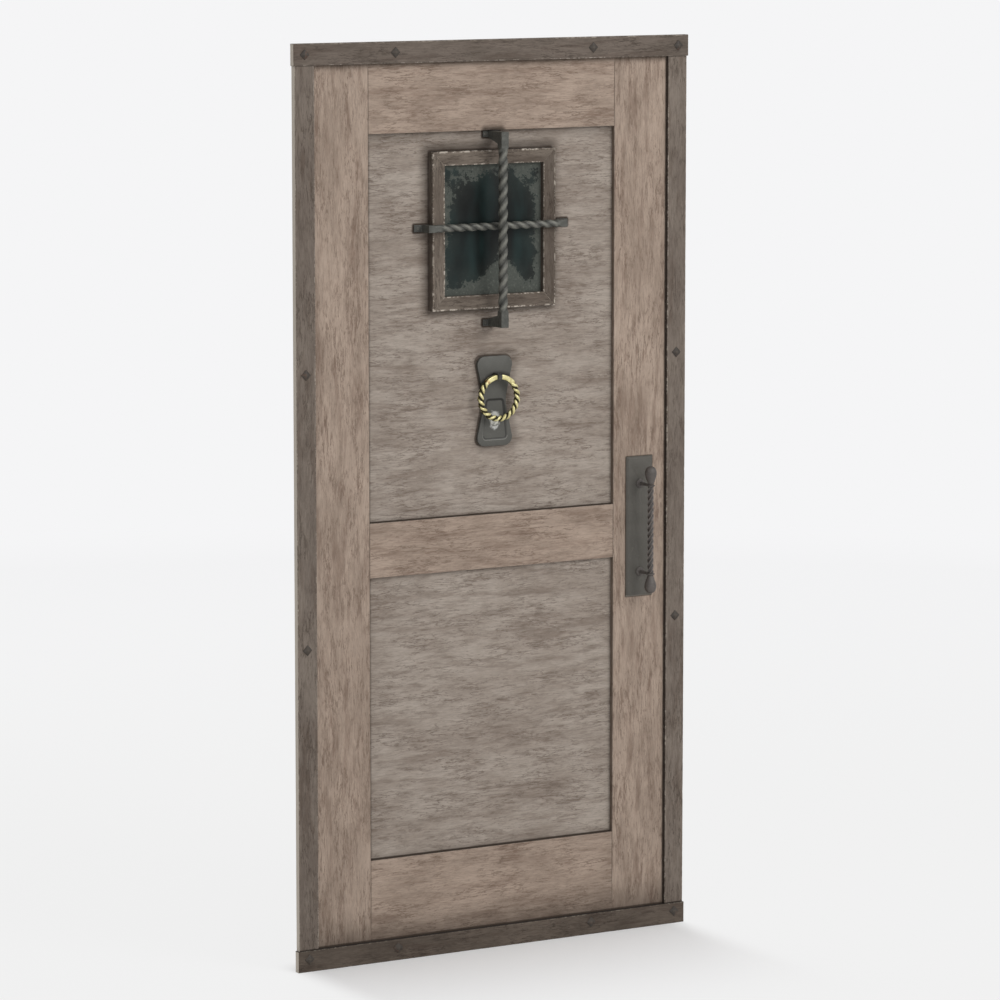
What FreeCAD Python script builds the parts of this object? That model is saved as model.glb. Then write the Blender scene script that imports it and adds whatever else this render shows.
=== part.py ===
import FreeCAD, Part
import math
import os
import Sketcher

Vector = FreeCAD.Vector

# Driving dimensions in millimetres (angles in degrees). Width runs along X, depth along Y with
# the front towards -Y, height along Z from the floor. Y = 0 is the wall plane, where the back
# of the casing boards lies.
SIZES = {
    # casing boards
    "total_high": 2140,
    "casing_span": 1048,
    "side_board_wide": 51,
    "side_board_thick": 14,
    "cross_board_high": 50,
    "cross_board_overhang": 3,
    "cross_board_proud": 2,
    "wall_strip_wide": 23,
    "head_strip_high": 22,
    "rebate_deep": 4.8,
    "casing_arris": 1.2,
    # jambs, sill and the gaps round the leaf
    "stop_lap": 8,
    "stop_clear": 0.3,
    "leaf_gap": 2.5,
    "head_housing": 8,
    # leaf frame and panels
    "leaf_thick": 44,
    "stile_face": 143.5,
    "top_rail_face": 160,
    "lock_rail_high": 128,
    "bottom_rail_face": 192,
    "panel_recess": 10.8,
    "panel_thick": 24,
    "panel_gap": 0.6,
    "tongue_thick": 12,
    "tongue_long": 12,
    "groove_clear": 0.2,
    "tenon_thick": 14,
    "tenon_long": 60,
    "tenon_shoulder": 20,
    "mortise_clear": 0.1,
    "leaf_arris": 0.8,
    # window
    "window_wide": 330,
    "window_long": 368.6,
    "window_below_rail": 45,
    "window_proud": 17.8,
    "window_member": 33,
    "window_lip": 8,
    "window_flange": 15,
    "window_fit": 0.2,
    "window_chamfer": 2.4,
    "bead_chamfer": 4,
    "glass_setback": 13,
    "glass_thick": 5,
    "glass_clear": 0.4,
    "bead_thick": 12,
    # window grille
    "upright_side": 20.5,
    "crossbar_side": 17,
    "bar_pitch": 58.6,
    "bar_clear": 0.4,
    "upright_below_window": 41.4,
    "upright_above_window": 44,
    "upright_plain_past_top_leg": 10,
    "upright_plain_past_low_leg": 8,
    "crossbar_past_window": 21,
    "crossbar_above_middle": 8.3,
    "crossbar_plain_past_left_leg": 15,
    "crossbar_plain_past_right_leg": 1,
    "upright_leg_root": 28,
    "crossbar_leg_root": 18,
    "leg_foot": 15.5,
    "upright_foot_long": 12.7,
    "crossbar_foot_long": 20,
    "foot_thick": 3.6,
    # ring knocker
    "knocker_across": 7,
    "knocker_plate_wide": 104,
    "knocker_plate_waist": 55,
    "knocker_plate_long": 211,
    "knocker_plate_thick": 7,
    "knocker_plate_corner": 20,
    "knocker_plate_waist_round": 88,
    "knocker_plate_ease": 1.2,
    "recess_above_plate_end": 16,
    "recess_long": 93,
    "recess_wide_low": 65,
    "recess_wide_high": 44,
    "recess_deep": 1.8,
    "recess_corner": 8,
    "ring_diameter": 98,
    "ring_section": 11.4,
    "ring_pitch": 35,
    "ring_pivot_below_plate_end": 47,
    "ring_off_plate": 18,
    "ring_gap": 12,
    "ring_plain": 34,
    "lug_wide": 11,
    "lug_high": 17,
    "ring_pin_thick": 4.5,
    "ring_pin_clear": 0.3,
    "ring_pin_grip": 9,
    "stud_wide": 26,
    "stud_below_ring": 7,
    "stud_rise": 7,
    "tail_thick": 8,
    "tail_beyond_nut": 4,
    "nut_across": 13,
    "nut_thick": 6.5,
    "nut_chamfer": 1.1,
    "washer_wide": 22,
    "washer_thick": 1.6,
    # pull handle
    "pull_plate_wide": 73,
    "pull_plate_long": 336,
    "pull_plate_above_rail_middle": 6,
    "pull_plate_thick": 6,
    "pull_plate_bevel": 4.5,
    "pull_post_spacing": 212,
    "pull_post_below_plate_middle": 3,
    "pull_reach": 47,
    "pull_bar_side": 11.6,
    "pull_bar_pitch": 60,
    "pull_rose_wide": 22,
    "pull_rose_thick": 3,
    "pull_post_root": 10,
    "pull_post_tip": 5,
    "pull_eye_wide": 20,
    "pull_eye_thick": 3,
    "pull_neck": 8,
    "finial_wide": 28,
    "finial_long": 45,
    # nails
    "nail_head_side": 14,
    "nail_head_rise": 4.5,
    "nail_head_rim": 1.1,
    "nail_shank": 4,
    "nail_long": 34,
    "nail_in_from_edge": 25.5,
    "nail_below_head_edge": 25,
    "nail_above_floor": 30,
    # wood screws
    "frame_screw_long": 60,
    "frame_screw_shank": 4.5,
    "frame_screw_head": 9,
    "hinge_screw_long": 14,
    "small_screw_long": 18,
    "small_screw_shank": 3.5,
    "small_screw_head": 7,
    "screw_slot": 0.9,
    "screw_fit": 0.1,
    # holes for the frame fixings that hold the jambs in the wall
    "fixing_hole": 8,
    "fixing_inner_spacing": 480,
    "fixing_outer_spacing": 1440,
    # hinges
    "hinge_high": 100,
    "hinge_plate_deep": 30,
    "hinge_plate_thick": 2.2,
    "hinge_barrel": 12,
    "hinge_barrel_clear": 0.4,
    "hinge_pin": 6,
    "hinge_pin_clear": 0.3,
    "hinge_pin_head": 9,
    "hinge_knuckle_gap": 0.3,
    "hinge_from_leaf_end": 200,
    # slide bolt inside
    "bolt_bar_high": 18,
    "bolt_bar_thick": 7,
    "bolt_bar_nose": 2.3,
    "bolt_bar_long": 174,
    "bolt_tip_inside_edge": 4,
    "bolt_run_clear": 0.3,
    "guide_wide": 16,
    "guide_behind_tip": 37,
    "guide_spacing": 52,
    "strap_thick": 3,
    "strap_foot": 15,
    "bolt_knob_wide": 16,
    "bolt_knob_neck": 8,
    "bolt_knob_tang": 4,
    "bolt_knob_long": 26,
    # one overrun for every cut
    "overrun": 1,
}

HINGE_KNUCKLES = 5
SQUARE_SIDES = 4
TWIST_STEP_DEGREES = 30
RING_PLAIN_STEPS = 4
SCREW_TURN_DEGREES = 37
NUT_TURN_DEGREES = 17

# Shares of the sizes that they follow
inner_nail_share = 0.504
side_nail_shares = (0.656, 0.345)
lock_rail_middle_share = 0.4533
knocker_gap_share = 0.414
twist_wide_share = 1.1
twist_thick_share = 0.84
corner_screw_shares = (0.33, 0.67)
nail_tip_share = 0.25
screw_point_share = 3
hinge_screw_rise_shares = (-0.38, -0.13, 0.13, 0.38)
hinge_screw_depth_shares = (0.3, 0.68, 0.3, 0.68)
stud_rim_share = 0.2
rose_front_share = 0.8
finial_collar_share = 1.6
finial_flare_share = 0.25
finial_shares = ((0.78, 0.3), (1, 0.62), (0.7, 0.91))
bolt_knob_shares = ((0.8, 0.52), (1, 0.7), (0.85, 0.88), (0.45, 1))
bolt_knob_neck_share = 0.4


class Dim:
    """A length that keeps its value and the sheet expression that gives it."""

    def __init__(self, value, text):
        self.value = float(value)
        self.text = text

    def _join(self, other, sign, value):
        other_text = other.text if isinstance(other, Dim) else repr(float(other))
        return Dim(value, "(%s %s %s)" % (self.text, sign, other_text))

    def __float__(self):
        return self.value

    def __add__(self, other):
        return self._join(other, "+", self.value + float(other))

    def __sub__(self, other):
        return self._join(other, "-", self.value - float(other))

    def __mul__(self, other):
        return self._join(other, "*", self.value * float(other))

    def __truediv__(self, other):
        return self._join(other, "/", self.value / float(other))

    def __neg__(self):
        return self * -1


doc = FreeCAD.newDocument("door")


def make_sheet():
    """Fills the spreadsheet and gives every size as a Dim under its alias."""
    sheet = doc.addObject("Spreadsheet::Sheet", "sizes")
    named = {}
    for row, (alias, value) in enumerate(SIZES.items(), start=1):
        sheet.set("A%d" % row, alias)
        sheet.set("B%d" % row, str(value))
        sheet.setAlias("B%d" % row, alias)
        named[alias] = Dim(value, "sizes." + alias)
    doc.recompute()
    return named


size = make_sheet()
zero = size["total_high"] * 0

# Places that several pieces share
half_span = size["casing_span"] / 2
opening_half = half_span - size["side_board_wide"]
leaf_half = opening_half + size["stop_lap"]
jamb_inner = leaf_half + size["leaf_gap"]
jamb_outer = half_span - size["wall_strip_wide"]
side_front = -size["side_board_thick"]
cross_front = side_front - size["cross_board_proud"]
jamb_front = -size["rebate_deep"]
leaf_front = jamb_front + size["stop_clear"]
leaf_back = leaf_front + size["leaf_thick"]
leaf_middle = leaf_front + size["leaf_thick"] / 2
jamb_back = leaf_back
head_low = size["total_high"] - size["cross_board_high"]
leaf_low = size["cross_board_high"] - size["stop_lap"]
leaf_high = head_low + size["stop_lap"]
sill_high = leaf_low - size["leaf_gap"]
head_jamb_low = leaf_high + size["leaf_gap"]
head_jamb_high = size["total_high"] - size["head_strip_high"]
stile_inner = opening_half - size["stile_face"]
bottom_rail_high = size["cross_board_high"] + size["bottom_rail_face"]
lock_rail_middle = size["total_high"] * lock_rail_middle_share
lock_rail_low = lock_rail_middle - size["lock_rail_high"] / 2
lock_rail_high = lock_rail_middle + size["lock_rail_high"] / 2
top_rail_low = head_low - size["top_rail_face"]
panel_front = leaf_front + size["panel_recess"]
panel_back = panel_front + size["panel_thick"]
panel_middle = panel_front + size["panel_thick"] / 2
hinge_across = -(leaf_half + size["leaf_gap"] / 2)
hinge_depth = leaf_back + size["hinge_barrel"] / 2 + size["hinge_barrel_clear"]
overrun = size["overrun"]

parts = []


def keep(obj, name):
    """Names a finished sub-part and puts it on the list of pieces to write."""
    obj.Label = name
    parts.append(obj)
    return obj


def new_body(name):
    return keep(doc.addObject("PartDesign::Body", name), name)


def sketch_on(body, role, offset):
    """An empty sketch on one of the body's own origin planes, moved by a bound offset."""
    plane = next(item for item in body.Origin.OriginFeatures if item.Role == role)
    sketch = body.newObject("Sketcher::SketchObject", "%s_sketch" % body.Name)
    sketch.AttachmentSupport = [(plane, "")]
    sketch.MapMode = "FlatFace"
    for axis, distance in zip("xyz", offset):
        sketch.setExpression("AttachmentOffset.Base." + axis, distance.text)
    return sketch


def pin_point(sketch, geometry, point, place):
    """Holds one point of the sketch at a bound distance from the sketch's own origin."""
    for kind, distance in zip(("DistanceX", "DistanceY"), place):
        constraint = Sketcher.Constraint(kind, -1, 1, geometry, point, distance.value)
        index = sketch.addConstraint(constraint)
        sketch.setExpression("Constraints[%d]" % index, distance.text)


def draw_outline(sketch, outline):
    count = len(outline)
    for index, place in enumerate(outline):
        following = outline[(index + 1) % count]
        start = Vector(float(place[0]), float(place[1]), 0)
        end = Vector(float(following[0]), float(following[1]), 0)
        sketch.addGeometry(Part.LineSegment(start, end), False)
    for index, place in enumerate(outline):
        sketch.addConstraint(Sketcher.Constraint("Coincident", index, 2, (index + 1) % count, 1))
        pin_point(sketch, index, 1, place)


def draw_circles(sketch, centres, diameter):
    for place in centres:
        circle = Part.Circle(Vector(float(place[0]), float(place[1]), 0), Vector(0, 0, 1),
                             float(diameter) / 2)
        geometry = sketch.addGeometry(circle, False)
        pin_point(sketch, geometry, 3, place)
        index = sketch.addConstraint(Sketcher.Constraint("Diameter", geometry, float(diameter)))
        sketch.setExpression("Constraints[%d]" % index, diameter.text)


def extrude(body, sketch, length, cut):
    """Pads the sketch along its plane's normal, or cuts a pocket along that same normal."""
    kind = "PartDesign::Pocket" if cut else "PartDesign::Pad"
    feature = body.newObject(kind, "%s_%s" % (body.Name, "cut" if cut else "pad"))
    feature.Profile = sketch
    feature.setExpression("Length", length.text)
    if cut:
        feature.Reversed = True
    sketch.Visibility = False
    return feature


def rectangle(low_across, high_across, low_up, high_up):
    return [(low_across, low_up), (high_across, low_up),
            (high_across, high_up), (low_across, high_up)]


def plan_prism(body, outline, low, high, cut=False):
    """A prism whose outline (X, Y) is seen from above and that runs from low to high in Z."""
    sketch = sketch_on(body, "XY_Plane", (zero, zero, low))
    draw_outline(sketch, outline)
    return extrude(body, sketch, high - low, cut)


def front_prism(body, outline, front, back, cut=False):
    """A prism whose outline (X, Z) is seen from the front and that runs from front to back."""
    sketch = sketch_on(body, "XZ_Plane", (zero, zero, -back))
    draw_outline(sketch, outline)
    return extrude(body, sketch, back - front, cut)


def side_prism(body, outline, left, right, cut=False):
    """A prism whose outline (Y, Z) is seen from the side and that runs from left to right."""
    sketch = sketch_on(body, "YZ_Plane", (zero, zero, left))
    draw_outline(sketch, outline)
    return extrude(body, sketch, right - left, cut)


def block(body, across, depth, height, cut=False):
    """A rectangular block between pairs of X, Y and Z."""
    return plan_prism(body, rectangle(*across, *depth), *height, cut=cut)


def front_holes(body, centres, diameter, front, back):
    """Round holes along Y at places (X, Z)."""
    sketch = sketch_on(body, "XZ_Plane", (zero, zero, -back))
    draw_circles(sketch, centres, diameter)
    return extrude(body, sketch, back - front, True)


def screw_holes(body, role, offset, centres, shank, head, depth, reversed_hole=False):
    """Countersunk blind holes that a row of wood screws fills."""
    sketch = sketch_on(body, role, offset)
    draw_circles(sketch, centres, shank)
    doc.recompute()
    hole = body.newObject("PartDesign::Hole", "%s_screw_holes" % body.Name)
    hole.Profile = sketch
    doc.recompute()
    hole.ThreadType = 0
    hole.DepthType = "Dimension"
    hole.DrillPoint = "Flat"
    hole.HoleCutType = "Countersink"
    hole.HoleCutCustomValues = True
    hole.HoleCutCountersinkAngle = 90
    hole.setExpression("Diameter", shank.text)
    hole.setExpression("Depth", depth.text)
    hole.setExpression("HoleCutDiameter", head.text)
    hole.Reversed = reversed_hole
    sketch.Visibility = False
    return hole


def turned(body, outline, centre, along):
    """A turned solid: the outline holds (radius, distance) points along X, Y or Z."""
    across, depth, height = centre
    if along == "Z":
        sketch = sketch_on(body, "XZ_Plane", (across, height, -depth))
    else:
        sketch = sketch_on(body, "XY_Plane", (across, depth, height))
    points = [(reach, radius) for radius, reach in outline] if along == "X" else outline
    draw_outline(sketch, points)
    revolution = body.newObject("PartDesign::Revolution", "%s_turned" % body.Name)
    revolution.Profile = sketch
    revolution.ReferenceAxis = (sketch, ["H_Axis" if along == "X" else "V_Axis"])
    revolution.Angle = 360
    sketch.Visibility = False
    return revolution


def edge_names(shape, chosen):
    """Names of the straight edges whose two ends both pass the test."""
    names = []
    for index, edge in enumerate(shape.Edges, start=1):
        ends = [vertex.Point for vertex in edge.Vertexes]
        if len(ends) == 2 and chosen(*ends):
            names.append("Edge%d" % index)
    return names


def same(first, second):
    return abs(first - second) < 1e-6 * float(size["total_high"])


def ease(body, distance, chosen, kind="Chamfer"):
    """Chamfers or rounds the edges of the body so far that pass the test."""
    doc.recompute()
    names = edge_names(body.Shape, chosen)
    if not names:
        raise RuntimeError("no edge to ease on " + body.Name)
    base = body.Tip
    feature = body.newObject("PartDesign::" + kind, "%s_%s" % (body.Name, kind.lower()))
    feature.Base = (base, names)
    feature.setExpression("Size" if kind == "Chamfer" else "Radius", distance.text)
    return feature


def arris(body, distance, front):
    """Takes the sharp edge off the whole front face of a board."""
    depth = float(front)
    ease(body, distance, lambda one, two: same(one.y, depth) and same(two.y, depth))


def code_part(name, shape, place=Vector(0, 0, 0)):
    """A sub-part whose shape no parametric feature fits; its sizes still come from the sheet."""
    feature = doc.addObject("Part::Feature", name)
    feature.Shape = shape
    feature.Placement = FreeCAD.Placement(place, FreeCAD.Rotation())
    return keep(feature, name)


def signed(sign, pair):
    """The pair of X places as they are, or mirrored to the left side."""
    return pair if sign > 0 else (-pair[1], -pair[0])


# Nail places on the casing boards, as (X, Z)
outer_nail = half_span - size["nail_in_from_edge"]
outer_nails = (-outer_nail, outer_nail)
inner_nails = (-(half_span * inner_nail_share), half_span * inner_nail_share)
head_nail_high = size["total_high"] - size["nail_below_head_edge"]
side_nail_heights = [size["cross_board_high"] + (head_low - size["cross_board_high"]) * share
                     for share in side_nail_shares]
head_nails = [(across, head_nail_high) for across in outer_nails + inner_nails]
foot_nails = [(across, size["nail_above_floor"]) for across in outer_nails + inner_nails]
side_nails = {sign: [(outer_nail * sign, height) for height in side_nail_heights]
              for sign in (-1, 1)}
nail_end = size["nail_long"]


def nail_holes(body, places, board_front):
    front_holes(body, places, size["nail_shank"], board_front - overrun, board_front + nail_end)


def make_casing():
    """Four boards round the opening, rebated at the back over the jambs."""
    for sign, name in ((-1, "left_casing"), (1, "right_casing")):
        board = new_body(name)
        outline = [(half_span * sign, zero), (half_span * sign, side_front),
                   (opening_half * sign, side_front), (opening_half * sign, jamb_front),
                   (jamb_outer * sign, jamb_front), (jamb_outer * sign, zero)]
        plan_prism(board, outline, size["cross_board_high"], head_low)
        arris(board, size["casing_arris"], side_front)
        nail_holes(board, side_nails[sign], side_front)
    cross_half = half_span + size["cross_board_overhang"]
    boards = (("head_casing", (head_low, size["total_high"]), (head_low, head_jamb_high),
               head_nails),
              ("foot_casing", (zero, size["cross_board_high"]),
               (-overrun, size["cross_board_high"] + overrun), foot_nails))
    for name, height, rebate_height, nails in boards:
        board = new_body(name)
        block(board, (-cross_half, cross_half), (cross_front, zero), height)
        block(board, (-jamb_outer, jamb_outer), (jamb_front, overrun), rebate_height, cut=True)
        arris(board, size["casing_arris"], cross_front)
        nail_holes(board, nails, cross_front)


def nail_shape():
    """A rough forged nail: a low square pyramid head over a round shank, pointing to +Y."""
    half = float(size["nail_head_side"]) / 2 * math.sqrt(2)
    rim = float(size["nail_head_rim"])
    corners = [Vector(half, 0, 0), Vector(0, 0, half), Vector(-half, 0, 0), Vector(0, 0, -half)]
    base = Part.Face(Part.makePolygon(corners + corners[:1]))
    slab = base.extrude(Vector(0, -rim, 0))
    tip = Vector(0, -float(size["nail_head_rise"]), 0)
    rim_corners = [corner + Vector(0, -rim, 0) for corner in corners]
    faces = [Part.Face(Part.makePolygon([one, two, tip, one]))
             for one, two in zip(rim_corners, rim_corners[1:] + rim_corners[:1])]
    faces.append(Part.Face(Part.makePolygon(rim_corners + rim_corners[:1])))
    pyramid = Part.Solid(Part.Shell(faces))
    radius = float(size["nail_shank"]) / 2
    length = float(nail_end)
    shank = Part.makeCylinder(radius, length - radius * 2, Vector(0, 0, 0), Vector(0, 1, 0))
    point = Part.makeCone(radius, radius * nail_tip_share, radius * 2,
                          Vector(0, length - radius * 2, 0), Vector(0, 1, 0))
    return slab.fuse([pyramid, shank, point]).removeSplitter()


def make_nails():
    nail = nail_shape()
    places = [(place, cross_front) for place in head_nails + foot_nails]
    places += [(place, side_front) for sign in (-1, 1) for place in side_nails[sign]]
    copies = []
    for (across, height), front in places:
        copies.append(nail.translated(Vector(float(across), float(front), float(height))))
    code_part("casing_nails", Part.makeCompound(copies))


# Corner screws of the jamb frame: depth places, and the heights or widths they are driven at
corner_screw_depths = [jamb_front + (jamb_back - jamb_front) * share
                       for share in corner_screw_shares]
head_screw_high = (head_jamb_low + head_jamb_high) / 2
sill_screw_across = (jamb_inner + jamb_outer) / 2
fixing_depth = (jamb_front + jamb_back) / 2
fixing_heights = [(sill_high + head_jamb_high) / 2 + size[spacing] / 2 * sign
                  for spacing in ("fixing_inner_spacing", "fixing_outer_spacing")
                  for sign in (-1, 1)]


def make_jambs():
    """Head, two side jambs and the sill, housed and screwed at the corners."""
    head = new_body("head_jamb")
    housing_end = jamb_inner + size["head_housing"]
    block(head, (-housing_end, housing_end), (jamb_front, jamb_back),
          (head_jamb_low, head_jamb_high))
    nail_holes(head, [place for place in head_nails if place[0] in inner_nails], cross_front)
    grip = size["frame_screw_long"] - (jamb_outer - housing_end)
    for sign in (-1, 1):
        across = signed(sign, (housing_end - grip, housing_end + overrun))
        screw_shank_cut(head, across, head_screw_high)
    for sign, name in ((-1, "left_jamb"), (1, "right_jamb")):
        jamb = new_body(name)
        block(jamb, signed(sign, (jamb_inner, jamb_outer)), (jamb_front, jamb_back),
              (sill_high, head_jamb_high))
        block(jamb, signed(sign, (jamb_inner - overrun, housing_end)),
              (jamb_front - overrun, jamb_back + overrun),
              (head_jamb_low, head_jamb_high + overrun), cut=True)
        nails = [place for place in head_nails if float(place[0]) * sign > float(jamb_inner)]
        nail_holes(jamb, nails, cross_front)
        nail_holes(jamb, side_nails[sign], side_front)
        screw_holes(jamb, "YZ_Plane", (zero, zero, jamb_outer * sign),
                    [(depth, head_screw_high) for depth in corner_screw_depths],
                    size["frame_screw_shank"], size["frame_screw_head"],
                    size["frame_screw_long"], reversed_hole=sign < 0)
        sill_grip = size["frame_screw_long"] - sill_high
        vertical_shank_cut(jamb, sill_screw_across * sign,
                           (sill_high - overrun, sill_high + sill_grip))
        fixing_holes(jamb, signed(sign, (jamb_inner - overrun, jamb_outer + overrun)))
        if sign < 0:
            hinge_seat(jamb, -1)
        else:
            keep_screw_seat(jamb)
    sill = new_body("sill")
    block(sill, (-jamb_outer, jamb_outer), (jamb_front, jamb_back), (zero, sill_high))
    nail_holes(sill, foot_nails, cross_front)
    screw_holes(sill, "XY_Plane", (zero, zero, zero),
                [(sill_screw_across * sign, depth) for sign in (-1, 1)
                 for depth in corner_screw_depths],
                size["frame_screw_shank"], size["frame_screw_head"], size["frame_screw_long"],
                reversed_hole=True)


def fixing_holes(body, across):
    """Four holes along X through a jamb for its frame fixings."""
    sketch = sketch_on(body, "YZ_Plane", (zero, zero, across[0]))
    draw_circles(sketch, [(fixing_depth, height) for height in fixing_heights],
                 size["fixing_hole"])
    extrude(body, sketch, across[1] - across[0], True)


def screw_shank_cut(body, across, height):
    sketch = sketch_on(body, "YZ_Plane", (zero, zero, across[0]))
    draw_circles(sketch, [(depth, height) for depth in corner_screw_depths],
                 size["frame_screw_shank"])
    extrude(body, sketch, across[1] - across[0], True)


def vertical_shank_cut(body, across, height):
    sketch = sketch_on(body, "XY_Plane", (zero, zero, height[0]))
    draw_circles(sketch, [(across, depth) for depth in corner_screw_depths],
                 size["frame_screw_shank"])
    extrude(body, sketch, height[1] - height[0], True)


def screw_shape(length, shank, head):
    """A slotted countersunk wood screw that starts at its head's face and runs along +Z."""
    shank_radius = float(shank) / 2 - float(size["screw_fit"])
    head_radius = float(head) / 2 - float(size["screw_fit"])
    cone_deep = head_radius - shank_radius
    point_deep = shank_radius * screw_point_share
    long = float(length) - float(size["screw_fit"])
    profile = [Vector(0, 0, 0), Vector(head_radius, 0, 0), Vector(shank_radius, 0, cone_deep),
               Vector(shank_radius, 0, long - point_deep), Vector(0, 0, long)]
    face = Part.Face(Part.makePolygon(profile + profile[:1]))
    screw = face.revolve(Vector(0, 0, 0), Vector(0, 0, 1), 360)
    slot = float(size["screw_slot"])
    past = float(overrun)
    cutter = Part.makeBox((head_radius + past) * 2, slot, slot + past,
                          Vector(-head_radius - past, -slot / 2, -past))
    return screw.cut(cutter)


def screw_group(name, screw, places):
    """One node of identical screws; each place is (point of the head's face, direction)."""
    copies = []
    for index, (point, direction) in enumerate(places):
        turn = FreeCAD.Rotation(Vector(0, 0, 1), direction)
        slot_turn = FreeCAD.Rotation(Vector(0, 0, 1), SCREW_TURN_DEGREES * index)
        copy = screw.copy()
        copy.Placement = FreeCAD.Placement(Vector(*[float(item) for item in point]),
                                           turn.multiply(slot_turn))
        copies.append(copy)
    code_part(name, Part.makeCompound(copies))


def make_frame_screws():
    screw = screw_shape(size["frame_screw_long"], size["frame_screw_shank"],
                        size["frame_screw_head"])
    places = []
    for sign in (-1, 1):
        for depth in corner_screw_depths:
            places.append(((jamb_outer * sign, depth, head_screw_high), Vector(-sign, 0, 0)))
            places.append(((sill_screw_across * sign, depth, zero), Vector(0, 0, 1)))
    screw_group("frame_screws", screw, places)


# Hinge layout: the three hinges and the front edge of their plates
hinge_names = ("upper", "middle", "lower")
hinge_heights = (leaf_high - size["hinge_from_leaf_end"], (leaf_low + leaf_high) / 2,
                 leaf_low + size["hinge_from_leaf_end"])
hinge_plate_front = leaf_back - size["hinge_plate_deep"]


def hinge_screw_places(height):
    """Screw places (Y, Z) on one hinge plate, staggered over its height."""
    return [(leaf_back - size["hinge_plate_deep"] * depth_share,
             height + size["hinge_high"] * rise_share)
            for depth_share, rise_share in zip(hinge_screw_depth_shares,
                                               hinge_screw_rise_shares)]


def plate_faces(side):
    """X of a plate's show face and its buried face; side -1 is the jamb, +1 the leaf."""
    show = hinge_across + size["leaf_gap"] / 2 * side
    return show, show + size["hinge_plate_thick"] * side


def ordered(first, second):
    return (first, second) if float(first) < float(second) else (second, first)


def hinge_seat(body, side):
    """Recesses and screw holes for the three hinge plates in a jamb or stile edge."""
    show, buried = plate_faces(side)
    hole_depth = size["hinge_screw_long"]
    for height in hinge_heights:
        block(body, ordered(show - overrun * side, buried),
              (hinge_plate_front, leaf_back + overrun),
              (height - size["hinge_high"] / 2, height + size["hinge_high"] / 2), cut=True)
    sketch = sketch_on(body, "YZ_Plane", (zero, zero, ordered(show, show + hole_depth * side)[0]))
    places = [place for height in hinge_heights for place in hinge_screw_places(height)]
    draw_circles(sketch, places, size["small_screw_shank"])
    extrude(body, sketch, hole_depth, True)


def hinge_plate(name, height, side):
    """One half of a butt hinge: a plate, a web to the barrel and every other knuckle."""
    half = new_body(name)
    show, buried = plate_faces(side)
    low = height - size["hinge_high"] / 2
    high = height + size["hinge_high"] / 2
    block(half, ordered(show, buried), (hinge_plate_front, hinge_depth), (low, high))
    sketch = sketch_on(half, "XY_Plane", (zero, zero, low))
    draw_circles(sketch, [(hinge_across, hinge_depth)], size["hinge_barrel"])
    extrude(half, sketch, size["hinge_high"], False)
    knuckle = size["hinge_high"] / HINGE_KNUCKLES
    first_cut = 1 if side < 0 else 0
    gap = size["hinge_knuckle_gap"] / 2
    reach = size["hinge_barrel"]
    for index in range(first_cut, HINGE_KNUCKLES, 2):
        start = low + knuckle * index
        block(half, (hinge_across - reach, hinge_across + reach),
              (leaf_back, hinge_depth + reach), (start - gap, start + knuckle + gap), cut=True)
    bore = sketch_on(half, "XY_Plane", (zero, zero, low - overrun))
    draw_circles(bore, [(hinge_across, hinge_depth)],
                 size["hinge_pin"] + size["hinge_pin_clear"] * 2)
    extrude(half, bore, size["hinge_high"] + overrun * 2, True)
    screw_holes(half, "YZ_Plane", (zero, zero, show), hinge_screw_places(height),
                size["small_screw_shank"], size["small_screw_head"], size["hinge_screw_long"],
                reversed_hole=side > 0)


def hinge_pin(name, height):
    """A loose pin with a button head above and below the barrel."""
    pin = new_body(name)
    radius = size["hinge_pin"] / 2
    head = size["hinge_pin_head"] / 2
    half = size["hinge_high"] / 2
    rise = size["hinge_pin"] / 2
    outline = [(zero, -(half + rise)), (radius, -(half + rise)), (head, -(half + rise / 2)),
               (head, -half), (radius, -half), (radius, half), (head, half),
               (head, half + rise / 2), (radius, half + rise), (zero, half + rise)]
    turned(pin, outline, (hinge_across, hinge_depth, height), "Z")


def make_hinges():
    screw = screw_shape(size["hinge_screw_long"], size["small_screw_shank"],
                        size["small_screw_head"])
    for name, height in zip(hinge_names, hinge_heights):
        hinge_plate(name + "_hinge_jamb_plate", height, -1)
        hinge_plate(name + "_hinge_door_plate", height, 1)
        hinge_pin(name + "_hinge_pin", height)
    for side, name in ((-1, "hinge_jamb_screws"), (1, "hinge_door_screws")):
        show = plate_faces(side)[0]
        places = [((show, depth, rise), Vector(side, 0, 0))
                  for height in hinge_heights for depth, rise in hinge_screw_places(height)]
        screw_group(name, screw, places)


# Joinery of the leaf
tongue_depths = (panel_middle - size["tongue_thick"] / 2, panel_middle + size["tongue_thick"] / 2)
groove_depths = (tongue_depths[0] - size["groove_clear"], tongue_depths[1] + size["groove_clear"])
tenon_depths = (leaf_middle - size["tenon_thick"] / 2, leaf_middle + size["tenon_thick"] / 2)
groove_deep = size["tongue_long"] + size["groove_clear"] * 2
rails = {
    "top_rail": (top_rail_low, leaf_high),
    "lock_rail": (lock_rail_low, lock_rail_high),
    "bottom_rail": (leaf_low, bottom_rail_high),
}
panels = {
    "upper_panel": (lock_rail_high, top_rail_low),
    "lower_panel": (bottom_rail_high, lock_rail_low),
}


def tenon_heights(rail):
    low, high = rails[rail]
    return low + size["tenon_shoulder"], high - size["tenon_shoulder"]


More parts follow.
